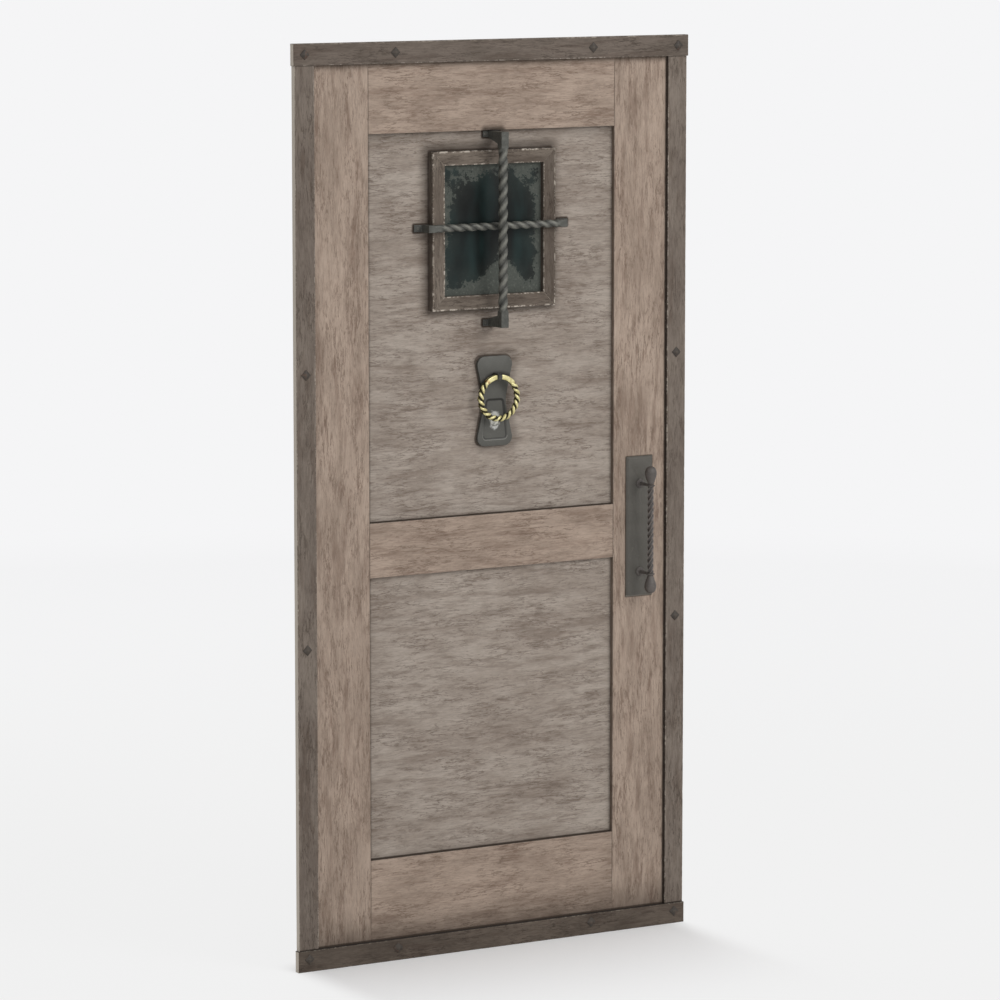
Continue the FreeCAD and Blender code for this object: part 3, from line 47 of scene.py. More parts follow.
# The photograph's view: what the camera aims at, from where, and its lens
AIM = Vector((13.27, -13.23, 1066.44)) * MM
CAMERA_DISTANCE = 11.0884
CAMERA_TURN = math.radians(30.354)
CAMERA_DROP = math.radians(7.898)
LENS_MM = 170.8
SENSOR_MM = 36.0
VIEW_END = 100.0

# Light: each lamp's name, place, watts and side, and the strength of the sky
LAMPS = (("key", (1.9, -4.6, 4.3), 145, 2.6), ("fill", (-1.2, -5.2, 2.0), 36, 3.5),
         ("back", (0.6, 4.2, 4.0), 90, 3.5))
SKY_STRENGTH = 0.58

# The floor: how far from the door it fades, and how much of it shows its own colour
FLOOR_HALF = 30.0
FLOOR_FADE = (1.5, 7.0)
FLOOR_GLOW = 0.93
DOOR_HALF = 0.46
FOOT_SHADE = 0.85
FOOT_SHADE_SIDE = 0.10
FOOT_SHADE_FRONT = 0.8

# Wear and relief of the boards
RELIEF = 0.35 * MM
GUARD = 1.6 * MM
LEAF_EASE = 0.9 * MM
CASING_EASE = 1.2 * MM
WINDOW_EASE = 1.8 * MM
INNER_EASE = 1.0 * MM
HIDDEN_EASE = 0.5 * MM
END_EASE = 1.0 * MM
END_STEPS = ((0.0, 1.0), (0.3, 0.3), (1.0, 0.0))
ARRIS_SHARE = 0.29
CHIP_GAIN = 1.4
FACE_STEP = 7 * MM
LENGTH_STEP = 6 * MM
PANEL_STEP = 7 * MM
PANEL_BURIED = 3 * MM
JAMB_EASE = 0.7 * MM
JAMB_LONG_EDGE = 25 * MM
GRAIN_SHIFT = 1.618
WINDOW_FLANGE = 15 * MM
BEAD_CHAMFER = 4 * MM

# Dirt and painted shade: zero is clean and unshaded, one is black, and below zero the wood is
# unstained
UNSTAINED = -1.0
# Recess walls beside the panels and the ledges' tops are darker: soiling, and painted shade in the
# gaps
JOINT_SOIL_AND_SHADE = 0.5
LEDGE_SOIL_AND_SHADE = 1.0
PANEL_SOIL_AND_SHADE = 0.5
PANEL_SHADE_REACH = 4 * MM
# Painted shade on the window frame's front by member: none on the left, darkest on the right, as
# light falls across it
FRAME_FRONT_SHADE = {"left": 0.0, "right": 0.40, "bottom": 0.22, "top": 0.24}
# The window frame's side faces, towards the glass and towards the panel: painted shade with some
# soiling, darkest over the top
FRAME_INNER_SOIL_AND_SHADE = 0.55
FRAME_OUTER_SOIL_AND_SHADE = {"left": 0.4, "right": 0.4, "bottom": 0.4, "top": 0.9}
# Painted contact shadow, grimy too, on the grille's feet next to the panel
EAR_GRIME_AND_SHADE = 0.42

# Dark rims round what sits on the wood, painted contact shadow and occlusion with some soiling:
# (shift, reach, strength) or (reach, strength)
HALO_SHIFT = 2 * MM
HALO_CORNER = 2 * MM
HALO_FADE_IN_DEPTH = (10 * MM, 16 * MM)
WINDOW_HALOS = ((HALO_SHIFT, 7 * MM, 0.8), (HALO_SHIFT * 2, 40 * MM, 0.58))
KNOCKER_HALOS = ((-HALO_SHIFT, 5 * MM, 0.75), (6 * MM, 34 * MM, 0.42))
PULL_HALO = (4 * MM, 0.7)
FOOT_HALO = (8 * MM, 1.0)
UPPER_FOOT_HALO = (26 * MM, 0.42)
RAIL_HALO = (20 * MM, 0.85)

# Nails: rings are (share of the half width, share of the rise)
NAIL_HALF = 9 * MM * math.sqrt(2)
NAIL_RISE = 4.5 * MM
NAIL_SHANK = 1.9 * MM
NAIL_LONG = 30 * MM
NAIL_APART = 40 * MM
NAIL_RINGS = ((1.0, 0.0), (1.0, 0.22), (0.86, 0.42), (0.62, 0.62), (0.36, 0.84), (0.14, 0.97))
NAIL_POINTS = 16
NAIL_SQUARE = 0.9
NAIL_UNEVEN = 0.10

# Twisted bars
ANGLES = [2 * math.pi * point / 32 for point in range(32)]
UPRIGHT_SIDE = 20.5 * MM
CROSSBAR_SIDE = 17 * MM
BAR_CLEAR = 0.4 * MM
BAR_PITCH = 58.6 * MM
BAR_STEP = 1.5 * MM
BAR_VOXEL = 1.05 * MM
BAR_END = 0.3 * MM
BAR_ROUNDNESS = 8.0
BAR_REACH_SHARE = 0.692
LEG_FOOT = 15.5 * MM
UPRIGHT_FOOT_LONG = 12.7 * MM
CROSSBAR_FOOT_LONG = 20 * MM
FOOT_THICK = 3.6 * MM
UPRIGHT_LEG_ROOT = 28 * MM
CROSSBAR_LEG_ROOT = 18 * MM
UPRIGHT_PLAIN_PAST_LEG = (8 * MM, 10 * MM)
CROSSBAR_PLAIN_PAST_LEG = (15 * MM, 1 * MM)
STRAND_SHARE = 0.448
STRAND_OFFSET_SHARE = 0.107
STRAND_RUN_IN = 9 * MM
PLAIN_RIDGE = 0.45
PULL_BAR_SIDE = 11.6 * MM
PULL_BAR_PITCH = 60 * MM
PULL_BAR_STEP = 1.2 * MM
PULL_ROUNDNESS = 11.0
PULL_HOLLOW = 0.06
PULL_NECK = 8 * MM
PULL_EYE = 1.5 * MM
PLATE_HIGHLIGHT_BAND = 3.2 * MM

# Knocker ring
RING_SECTION = 11.4 * MM
RING_PITCH = 31 * MM
RING_RADIUS = 49 * MM
RING_ROUNDNESS = 7.0
RING_STRAND = 5.1 * MM
RING_STRAND_OFFSET = 2.6 * MM
RING_PLAIN = 34 * MM
RING_GAP = 12 * MM
RING_PLAIN_STEPS = 10
RING_TWIST_STEPS = 260
RING_RUN_IN = 6 * MM
RING_LEFT_PLAIN_SHARE = 0.72
RING_LEFT_SHADE = 0.08
RING_END_ROUND = (0.86, 1.2 * MM)
# Painted shade on the ring's inner and outer flanks: where it starts and how dark
RING_FLANK = (0.84, 0.62)
RING_STAIN = (27 * MM, 5 * MM)

# Knocker plate
KNOCKER_WIDE = 104 * MM
KNOCKER_WAIST = 55 * MM
KNOCKER_CORNER = 20 * MM
KNOCKER_WAIST_ROUND = 88 * MM
KNOCKER_RIM = 1.4 * MM
RECESS_ABOVE_END = 16 * MM
RECESS_LONG = 93 * MM
RECESS_WIDE = (65 * MM, 44 * MM)
RECESS_DEEP = 1.8 * MM
RECESS_CORNER = 8 * MM
RECESS_SLOPE = 4.0 * MM
RECESS_SHADE_BAND = 2.4 * MM
TAIL_RADIUS = 4 * MM
LOOP_STEPS = 9
CIRCLE_STEPS = 24

# Dust on the glass: a mound under the upright bar, and a low bank along the foot
DUST_MOUND_ACROSS = 0.026
DUST_MOUND_WIDE = 0.076
DUST_MOUND_HIGH = 0.075
DUST_FOOT_HIGH = 0.010


def rgb(red, green, blue):
    """A colour given in display values from 0 to 255, as linear values for a shader."""
    channels = []
    for value in (red, green, blue):
        share = value / 255
        channels.append(share / 12.92 if share <= 0.04045 else ((share + 0.055) / 1.055) ** 2.4)
    return (*channels, 1.0)


# Near black for sooty spots and painted shade
SOOT_AND_SHADE = rgb(30, 28, 25)
BARE_WOOD = rgb(192, 183, 171)
BACKDROP = rgb(245, 245, 246)
FLOOR_NEAR = rgb(241, 241, 241)
WHITE = (1.0, 1.0, 1.0, 1.0)
BROWN_DIRT_AND_SHADE = (56, 47, 40)
PALE_WORN = (172, 163, 151)

# Woods: light, middle, dark, fleck, dirty-and-shaded and worn colour, then wear, figure and flecks
WOODS = {
    "leaf": ((160, 143, 129), (142, 126, 113), (108, 91, 79), (106, 86, 74), BROWN_DIRT_AND_SHADE,
             PALE_WORN, 0.2, 0.30, 0.60),
    "casing": ((117, 107, 98), (102, 92, 84), (72, 63, 55), (80, 66, 56), (42, 35, 30),
               PALE_WORN, 0.55, 0.25, 0.45),
    "window": ((116, 106, 96), (98, 88, 79), (64, 56, 49), (70, 59, 51), (46, 37, 31),
               (176, 167, 155), 1.0, 0.2, 0.45),
    "jamb": ((158, 143, 125), (142, 125, 107), (112, 94, 78), (118, 92, 74), BROWN_DIRT_AND_SHADE,
             PALE_WORN, 0.3, 0.45, 0.35),
    "head": ((104, 94, 86), (92, 83, 75), (66, 58, 51), (74, 61, 53), (42, 35, 30), PALE_WORN,
             0.55, 0.25, 0.4),
    "foot": ((94, 84, 75), (80, 71, 63), (58, 50, 44), (64, 52, 45), (40, 34, 30),
             (150, 142, 131), 0.35, 0.25, 0.4),
    "panel": ((156, 146, 136), (139, 128, 118), (104, 92, 83), (104, 90, 80), BROWN_DIRT_AND_SHADE,
              PALE_WORN, 0.1, 0.38, 0.55),
}

# Irons: light, middle and dark colour, then what differs from plain forged iron
IRONS = {
    "grille": ((118, 117, 109), (77, 77, 72), (37, 37, 33), {}),
    "handle": ((118, 114, 106), (82, 79, 73), (64, 61, 55), {"metal": 0.2, "blotch": 0.3}),
    "grip": ((124, 113, 108), (90, 84, 80), (54, 51, 49), {"metal": 0.2}),
    "hinge": ((88, 86, 80), (62, 61, 57), (42, 41, 38), {}),
    "bolt": ((96, 94, 88), (66, 65, 61), (42, 41, 38), {}),
    "nail": ((86, 77, 67), (62, 55, 48), (40, 35, 31),
             {"metal": 0.15, "rough": 0.65, "rust": rgb(84, 60, 46)}),
}


class Value:
    """An output of a shader node, to write sums with."""

    def __init__(self, tree, socket):
        self.tree = tree
        self.socket = socket

    def __add__(self, other):
        return self.tree.math("ADD", self, other)

    def __sub__(self, other):
        return self.tree.math("SUBTRACT", self, other)

    def __rsub__(self, other):
        return self.tree.math("SUBTRACT", other, self)

    def __mul__(self, other):
        return self.tree.math("MULTIPLY", self, other)

    def __truediv__(self, other):
        return self.tree.math("DIVIDE", self, other)

    def __pow__(self, other):
        return self.tree.math("POWER", self, other)

    def __abs__(self):
        return self.tree.math("ABSOLUTE", self)

    def sine(self):
        return self.tree.math("SINE", self)

    def at_least(self, other):
        return self.tree.math("MAXIMUM", self, other)

    def at_most(self, other):
        return self.tree.math("MINIMUM", self, other)

    def level(self, low, high, to_low=0.0, to_high=1.0):
        """Spreads the stretch from low to high over the new stretch, clamped."""
        return self.tree.value("Result", "ShaderNodeMapRange",
                               {"interpolation_type": "SMOOTHSTEP"},
                               {"Value": self, "From Min": low, "From Max": high,
                                "To Min": to_low, "To Max": to_high})


class Tree:
    """A node tree under construction."""

    def __init__(self, tree):
        self.tree = tree
        tree.nodes.clear()

    def add(self, kind, settings=None, inputs=None):
        made = self.tree.nodes.new(kind)
        for name, value in (settings or {}).items():
            setattr(made, name, value)
        for name, value in (inputs or {}).items():
            self.feed(made.inputs[name], value)
        return made

    def feed(self, socket, value):
        if isinstance(value, Value):
            self.tree.links.new(value.socket, socket)
        else:
            socket.default_value = value

    def value(self, output, kind, settings=None, inputs=None):
        """Adds a node and returns one of its outputs."""
        return Value(self, self.add(kind, settings, inputs).outputs[output])

    def math(self, operation, first, second=0.0):
        return self.value(0, "ShaderNodeMath", {"operation": operation}, {0: first, 1: second})

    def in_view(self):
        """One for what is seen straight, through glass or in a shiny surface, else zero."""
        path = self.add("ShaderNodeLightPath")
        camera, glossy, clear = (Value(self, path.outputs[f"Is {ray} Ray"])
                                 for ray in ("Camera", "Glossy", "Transmission"))
        return camera.at_least(glossy).at_least(clear)

    def blend(self, share, first, second):
        return self.value(0, "ShaderNodeMixShader", None, {0: share, 1: first, 2: second})


class Shader(Tree):
    """A node material under construction, with the colour that it has so far."""

    def __init__(self, name):
        self.material = bpy.data.materials.new(name)
        self.material.use_nodes = True
        super().__init__(self.material.node_tree)
        self.output = self.add("ShaderNodeOutputMaterial")
        self.bsdf = self.add("ShaderNodeBsdfPrincipled")
        self.tree.links.new(self.bsdf.outputs["BSDF"], self.output.inputs["Surface"])
        self.place = self.value("Object", "ShaderNodeTexCoord")
        self.color = None

    def noise(self, place, scale, detail=2.0, roughness=0.5, distortion=0.0):
        return self.value("Fac", "ShaderNodeTexNoise", None,
                          {"Vector": place, "Scale": scale, "Detail": detail,
                           "Roughness": roughness, "Distortion": distortion})

    def mix(self, factor, first, second, blend="MIX"):
        return self.value(2, "ShaderNodeMix", {"data_type": "RGBA", "blend_type": blend},
                          {0: factor, 6: first, 7: second})

    def lay(self, mask, color):
        """Lays a colour over what is there, where the mask shows it."""
        self.color = self.mix(mask, self.color, color)

    def attribute(self, name):
        return self.value("Fac", "ShaderNodeAttribute", {"attribute_name": name})

    def axes(self):
        made = self.add("ShaderNodeSeparateXYZ", None, {0: self.place})
        return [Value(self, output) for output in made.outputs]

    def vector(self, across, depth, up):
        return self.value(0, "ShaderNodeCombineXYZ", None, {0: across, 1: depth, 2: up})

    def length(self, vector):
        return self.value("Value", "ShaderNodeVectorMath", {"operation": "LENGTH"}, {0: vector})

    def bump(self, height, strength, distance):
        self.feed(self.bsdf.inputs["Normal"], self.value(
            "Normal", "ShaderNodeBump", None,
            {"Height": height, "Strength": strength, "Distance": distance}))

    def finish(self, **inputs):
        self.feed(self.bsdf.inputs["Base Color"], self.color)
        for name, value in inputs.items():
            self.feed(self.bsdf.inputs[name.replace("_", " ")], value)
        return self.material


def soil_and_shade_mask(shader, uneven, seams, halos):
    """How soiled and shaded the wood is: its layer of soiling and painted shade, plus dark lines
    and rims of painted shade (contact shadow and occlusion) with some soiling, raggedly.

    Seams are (axis, place, reach, strength); halos are (low x, high x, low z, high z, waist,
    corner round, reach, strength), where waist is half the width halfway up.
    """
    x, y, z = shader.axes()
    soil_and_shade = shader.attribute("dirt_and_shade")
    for axis, place, reach, strength in seams:
        away = abs((x if axis == "X" else z) - place)
        soil_and_shade = soil_and_shade.at_least(away.level(0.0, reach, strength, 0.0))
    for low_x, high_x, low_z, high_z, waist, corner, reach, strength in halos:
        wide, high = (high_x - low_x) / 2, (high_z - low_z) / 2
        up = abs(z - (low_z + high_z) / 2)
        side = up * ((wide - waist) / high) + (waist - corner)
        aside = abs(x - (low_x + high_x) / 2) - side
        away = shader.length(shader.vector(aside.at_least(0.0), 0.0,
                                           (up - (high - corner)).at_least(0.0)))
        soil_and_shade = soil_and_shade.at_least(away.level(corner, corner + reach, strength, 0.0)
                             * y.level(*HALO_FADE_IN_DEPTH, 1.0, 0.0))
    return (soil_and_shade * uneven + soil_and_shade).level(0.02, 0.95) * 0.95


def worn_mask(shader, wear):
    """Where the arrises are worn bare by rubbing, in broken patches."""
    broken = shader.noise(shader.place, 75, 6, 0.75)
    patchy = shader.noise(shader.place, 6, 3, 0.6)
    bare = broken.level(0.47, 0.58) * patchy.level(0.42, 0.60, 0.30, 1.0)
    lightened = shader.attribute("edge").level(0.65 - 0.45 * wear, 1.0 - 0.20 * wear)
    return bare * lightened * wear


def wood(name, grain, look, seams=(), halos=()):
    """Weathered open-grained wood, with its grain along X or Z."""
    light, middle, dark, fleck, dirt_and_shade, worn = (rgb(*color) for color in look[:6])
    wear, figure, flecks = look[6:]
    shader = Shader(name)
    x, y, z = shader.axes()
    shift = shader.attribute("shift")
    along, across = (z, x) if grain == "Z" else (x, z)
    along = along + shift
    across = shift * 0.37 + across
    across = shader.noise(shader.vector(along * 0.3, y, across), 6, 3, 0.6) * 0.016 + across

    def grained(stretch, scale, detail, roughness):
        return shader.noise(shader.vector(along * stretch, y, across), scale, detail, roughness)

    cloud = grained(0.34, 13, 6, 0.64)
    ragged = grained(0.21, 66, 10, 0.80)
    spots = grained(0.17, 125, 6, 0.66)
    ticks = grained(0.22, 330, 4, 0.66)
    cluster = grained(0.38, 19, 5, 0.62)
    fibre = grained(0.09, 520, 2, 0.6)
    split = grained(0.13, 85, 5, 0.62)
    swirl = grained(0.30, 4.2, 3, 0.55)
    streak = grained(0.13, 44, 4, 0.62)
    line = (across * 110.0 + swirl * 55.0).sine() * 0.5 + 0.5
    line = line ** 7.0 * ragged.level(0.42, 0.62)
    ticked = ticks.level(0.57, 0.68) * cluster.level(0.36, 0.60, 0.30, 0.85)
    hair = (abs(split - 0.5).level(0.006, 0.026, 1.0, 0.0)
            * cluster.level(0.40, 0.58, 0.25, 1.0))

    shader.color = shader.mix(cloud.level(0.38, 0.62), middle, light)
    shader.lay(streak.level(0.51, 0.66) * 0.42, fleck)
    shader.lay(ragged.level(0.50, 0.70) * 0.55, dark)
    shader.lay(ragged.level(0.48, 0.34) * 0.55, light)
    shader.lay(line * figure, dark)
    shader.lay(spots.level(0.51, 0.64) * cluster.level(0.47, 0.60) * flecks, fleck)
    shader.lay(ticked * 0.75, dark)
    shader.lay(hair * 0.75, dark)
    fibres = fibre.level(0.30, 0.70, 0.90, 1.08)
    shader.color = shader.mix(1.0, shader.color, shader.vector(fibres, fibres, fibres),
                              "MULTIPLY")
    # Soiling and painted shade: darker faces, lines and rims that stand in for contact shadow and
    # occlusion
    shader.lay(soil_and_shade_mask(shader, (ragged - 0.5) * 0.5, seams, halos), dirt_and_shade)
    shader.lay(shader.attribute("dirt_and_shade").level(-0.1, -0.9, 0.0, 0.9), BARE_WOOD)
    shader.lay(worn_mask(shader, wear), worn)
    shader.bump(fibre * 0.5 + ragged - ((ticked + hair) * 0.5 + line), 0.5, 0.7 * MM)
    return shader.finish(Roughness=ragged.level(0.3, 0.7, 0.74, 0.92), Specular_IOR_Level=0.2)


def soot_and_shadow_arc(shader, across, height, radius, reach, strength):
    """A dark arc round the ring's top: painted shadow of the ring on the plate, sooty as well."""
    x, y, z = shader.axes()
    up = z - height
    away = abs(shader.length(shader.vector(x - across, 0.0, up)) - radius)
    return away.level(0.0, reach, strength, 0.0) * up.level(-radius * 0.1, radius * 0.7)


def scraped(shader, across, height, half_wide, half_high):
    """A ragged bright patch."""
    x, y, z = shader.axes()
    length = shader.length(shader.vector((x - across) / half_wide, 0.0,
                                         (z - height) / half_high))
    torn = shader.noise(shader.place, 95, 6, 0.7)
    return ((torn - 0.5) * 1.3 + length).level(1.05, 0.60) * 0.85


def iron(name, light, middle, dark, metal=0.3, rough=0.55, blotch=0.5, rust=None, soot_and_shadow=None,
         scrape=None, bare=None):
    """Forged iron: hammered, waxed dark, worn lighter by rubbing where it stands proud, with
    painted highlights on lit edges and painted shade in its hollows and grimy spots.
    """
    light, middle, dark = rgb(*light), rgb(*middle), rgb(*dark)
    shader = Shader(name)
    cloud = shader.noise(shader.place, 26, 5, 0.62)
    grain = shader.noise(shader.place, 420, 3, 0.6)
    scratch = shader.noise(shader.place, 130, 5, 0.7, 0.8)
    lightened = (scratch - 0.5) * 0.9 + shader.attribute("ridge")
    shader.color = shader.mix(cloud.level(0.62, 0.36) * blotch, middle, dark)
    shader.lay(scratch.level(0.56, 0.70) * 0.3, light)
    # Lighter where the ridge layer is high: worn by rubbing on proud parts, and painted highlights
    # on the plates' lit edges
    shader.lay(lightened.level(0.55, 1.05) * 0.75, light)
    # Darker in the hollows: wax, and painted shade where the creases are too shallow to shade
    shader.lay(shader.attribute("hollow_and_shade").level(0.55, 1.0) * 0.8, dark)
    # Nearly black where that layer is high: painted shade on the grille's feet and the knocker's
    # recess walls, sooty in places
    shader.lay(shader.attribute("grime_and_shade").level(0.1, 0.9, 0.0, 0.85), SOOT_AND_SHADE)
    if rust:
        shader.lay(shader.noise(shader.place, 75, 4, 0.65).level(0.54, 0.68) * 0.6, rust)
    # A painted shadow of the ring on the plate, sooty as well
    if soot_and_shadow:
        shader.lay(soot_and_shadow_arc(shader, *soot_and_shadow), SOOT_AND_SHADE)
    if scrape:
        shader.lay(scraped(shader, *scrape), bare)
    shader.bump(grain * 0.35 + scratch, 0.3, 0.35 * MM)
    return shader.finish(Metallic=metal,
                         Roughness=scratch.level(0.3, 0.7, rough - 0.08, rough + 0.12))


def brass(name, light, middle, dark, copper):
    """Aged pale brass: bright on the ridges and nearly black in the hollows, where tarnish and
    painted shade lie together.
    """
    shader = Shader(name)
    cloud = shader.noise(shader.place, 90, 4, 0.65)
    fine = shader.noise(shader.place, 520, 3, 0.6)
    depth = (cloud - 0.5) * 1.5 + shader.attribute("hollow_and_shade")
    shader.color = shader.mix(cloud.level(0.38, 0.62), middle, light)
    shader.lay(depth.level(0.30, 0.62), dark)
    shader.lay((shader.attribute("stain") * cloud).level(0.22, 0.55, 0.0, 0.7), copper)
    shader.bump(fine + cloud, 0.35, 0.3 * MM)
    return shader.finish(Metallic=0.55, Roughness=depth.level(0.3, 0.8, 0.42, 0.7))


def steel(name, light, dark, metal, rough):
    """Plain steel with fine scratches and dull clouds."""
    shader = Shader(name)
    cloud = shader.noise(shader.place, 160, 4, 0.65)
    shader.color = shader.mix(cloud.level(0.38, 0.62), dark, light)
    shader.bump(shader.noise(shader.place, 900, 2, 0.6), 0.2, 0.2 * MM)
    return shader.finish(Metallic=metal, Roughness=cloud.level(0.35, 0.65, rough, rough + 0.18))


def dusty_glass(name, deep, tint, dust, pale, sight_low, sight_high):
    """Dark glass with frosted dust that creeps in from its edges and piles up at the bottom."""
    shader = Shader(name)
    x, y, z = shader.axes()
    off_middle = x - (sight_low.x + sight_high.x) / 2
    side = (sight_high.x - sight_low.x) / 2 - abs(off_middle)
    lumps = shader.noise(shader.place, 13, 3, 0.55)
    ragged = shader.noise(shader.place, 60, 9, 0.80)
    small = shader.noise(shader.place, 170, 6, 0.75)
    mound = abs(off_middle - DUST_MOUND_ACROSS).level(0.0, DUST_MOUND_WIDE, DUST_MOUND_HIGH,
                                                      DUST_FOOT_HIGH)
    margin = side.at_most((sight_high.z - z) * 0.6).at_most(z - sight_low.z - mound)
    reach = ((lumps - 0.5) * 0.09 + margin + (ragged - 0.5) * 0.10 + (small - 0.5) * 0.045)
    border = (ragged - 0.5) * 0.03 + margin
    film = reach.level(0.0170, 0.0110).at_least(border.level(0.009, 0.005, 0.0, 0.8))
    haze = ((lumps - 0.5) * 0.11 + margin).level(0.070, 0.0, 0.0, 0.16)
    cover = (film * small.level(0.25, 0.50, 0.72, 1.0)).at_least(haze)
    depths = shader.noise(shader.vector(x, y, z * 0.35), 11, 3, 0.5)
    shader.color = shader.mix(depths.level(0.40, 0.62), deep, tint)
    shader.lay(cover, shader.mix(small.level(0.50, 0.78), dust, pale))
    shader.bump(small, 0.12, 0.3 * MM)
    return shader.finish(Roughness=cover.level(0.0, 0.8, 0.30, 0.85), Specular_IOR_Level=0.16)


def floor_material(name, near, far):
    """Pale ground that shows its own colour to the camera, fades into the background far off
    and keeps a soft share of the shadows that fall on it."""
    shader = Shader(name)
    x, y, z = shader.axes()
    fade = shader.length(shader.place).level(*FLOOR_FADE)
    shader.color = shader.mix(shader.noise(shader.place, 900, 2, 0.5).level(0.2, 0.8), near, far)
    shader.finish(Roughness=0.9, Specular_IOR_Level=0.1)
    glow = shader.value(0, "ShaderNodeEmission", None, {"Color": shader.mix(fade, near, far),
                                                        "Strength": 1.0})
    near_foot = ((abs(x) - DOOR_HALF).level(FOOT_SHADE_SIDE, 0.0)
                 * y.level(-FOOT_SHADE_FRONT, 0.0) * y.level(FOOT_SHADE_SIDE, 0.0))
    share = (FLOOR_GLOW - near_foot * FOOT_SHADE).at_least(fade)
    lit = Value(shader, shader.bsdf.outputs["BSDF"])
    shader.feed(shader.output.inputs["Surface"],
                shader.blend(shader.in_view() * share, lit, glow))
    return shader.material


def middle_of(node):
    low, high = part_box(node)
    return (low + high) / 2


def window_box():
    """The corners of the window frame's outside, and how wide its members are."""
    left_low, left_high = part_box("window_frame_left")
    low = Vector((left_low.x, 0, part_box("window_frame_bottom")[0].z))
    high = Vector((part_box("window_frame_right")[1].x, 0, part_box("window_frame_top")[1].z))
    return low, high, left_high.x - left_low.x


def box_halo(low_x, high_x, low_z, high_z, reach, strength):
    return (low_x, high_x, low_z, high_z, (high_x - low_x) / 2, HALO_CORNER, reach, strength)


def foot_halos(reach, strength):
    """Dark rims round the grille's feet, painted contact shadow with some soiling: lower, upper,
    left and right.
    """
    low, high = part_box("grille_upright")
    bar_low, bar_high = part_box("grille_crossbar")
    middle = (bar_low.z + bar_high.z) / 2
    foot = LEG_FOOT + CROSSBAR_FOOT_LONG
    return [box_halo(*sides, reach, strength) for sides in (
        (low.x, high.x, low.z, low.z + LEG_FOOT), (low.x, high.x, high.z - LEG_FOOT, high.z),
        (bar_low.x, bar_low.x + foot, middle - CROSSBAR_SIDE / 2, middle + CROSSBAR_SIDE / 2),
        (bar_high.x - foot, bar_high.x, middle - CROSSBAR_SIDE / 2,
         middle + CROSSBAR_SIDE / 2))]


def wood_seams():
    """The dark lines of each wood: painted shadow under ledges, casings and rails with some
    soiling, dark joints, and a broad darker band near the foot.
    """
    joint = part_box("hinge_stile")[1].x
    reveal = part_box("left_casing")[1].x
    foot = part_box("foot_casing")[1].z
    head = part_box("head_casing")[0].z
    leaf = [("X", side * place, reach, strength) for side in (-1, 1)
            for place, reach, strength in ((reveal, 5 * MM, 0.8), (joint, 2.5 * MM, 0.55))]
    leaf += [("Z", foot, 10 * MM, 1.0), ("Z", foot, 110 * MM, 0.50), ("Z", head, 23 * MM, 0.55)]
    panel = [("X", joint, 13 * MM, 1.0), ("Z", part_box("lock_rail")[1].z, 4.5 * MM, 1.0),
             ("Z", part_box("bottom_rail")[1].z, 5 * MM, 1.0),
             ("Z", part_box("top_rail")[0].z, 45 * MM, 0.40)]
    casing = [("Z", foot, 5 * MM, 0.95), ("Z", head, 3 * MM, 0.6)]
    return {"leaf": leaf, "panel": panel, "casing": casing}


def wood_halos():
    """The dark rims on the leaf's frame and on its panels: painted contact shadow and occlusion
    with some soiling.
    """
    low, high, _ = window_box()
    panel = [box_halo(low.x - shift, high.x - shift, low.z + shift, high.z + shift, reach,
                      strength) for shift, reach, strength in WINDOW_HALOS]
    low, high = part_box("knocker_plate")
    for across, reach, strength in KNOCKER_HALOS:
        middle = (low.x + high.x) / 2 + across
        panel.append((middle - KNOCKER_WIDE / 2, middle + KNOCKER_WIDE / 2, low.z + HALO_SHIFT,
                      high.z + HALO_SHIFT, KNOCKER_WAIST / 2 + HALO_SHIFT, KNOCKER_CORNER,
                      reach, strength))
    panel += foot_halos(*FOOT_HALO) + [foot_halos(*UPPER_FOOT_HALO)[1]]
    low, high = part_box("pull_plate")
    leaf = [box_halo(low.x, high.x, low.z, high.z, *PULL_HALO), foot_halos(*RAIL_HALO)[1]]
    return {"leaf": leaf, "panel": panel}


def knocker_iron():
    """The knocker plate's iron, with a painted shadow of the ring round its top, sooty as well,
    and the stud's bright patch.
    """
    ring, stud = middle_of("knocker_ring"), middle_of("strike_stud")
    return iron("knocker_iron", (120, 119, 113), (77, 76, 71), (44, 42, 38), metal=0.2,
                blotch=0.15,
                soot_and_shadow=(ring.x + 11 * MM, ring.z - 2 * MM, RING_RADIUS + 8 * MM, 10 * MM, 1.0),
                scrape=(stud.x, stud.z + 2 * MM, 16 * MM, 24 * MM), bare=rgb(200, 200, 195))


def build_materials():
    made = {}
    seams, halos = wood_seams(), wood_halos()
    for key, grain in (("leaf", "X"), ("leaf", "Z"), ("casing", "Z"), ("window", "X"),
                       ("window", "Z"), ("jamb", "X"), ("jamb", "Z"), ("head", ""), ("foot", ""),
                       ("panel", "")):
        ending = "_" + grain if grain else ""
        made[key + ending] = wood(key + "_wood" + ending, grain or "X", WOODS[key],
                                  seams.get(key, ()), halos.get(key, ()))
    for key, (*colors, options) in IRONS.items():
        made[key] = iron(key + "_iron", *colors, **options)
    made["knocker"] = knocker_iron()
    made["brass"] = brass("ring_brass", rgb(222, 213, 160), rgb(188, 178, 124), rgb(44, 38, 18),
                          rgb(132, 84, 44))
    made["strike"] = steel("worn_steel", rgb(212, 210, 200), rgb(150, 150, 144), 0.8, 0.25)
    made["fixing"] = steel("fixing_steel", rgb(150, 148, 142), rgb(104, 102, 98), 0.85, 0.35)
    low, high, member = window_box()
    inset = Vector((member, 0, member))
    made["glass"] = dusty_glass("dusty_glass", rgb(14, 17, 16), rgb(26, 40, 39),
                                rgb(74, 77, 72), rgb(106, 109, 102), low + inset, high - inset)
    return made


materials = build_materials()


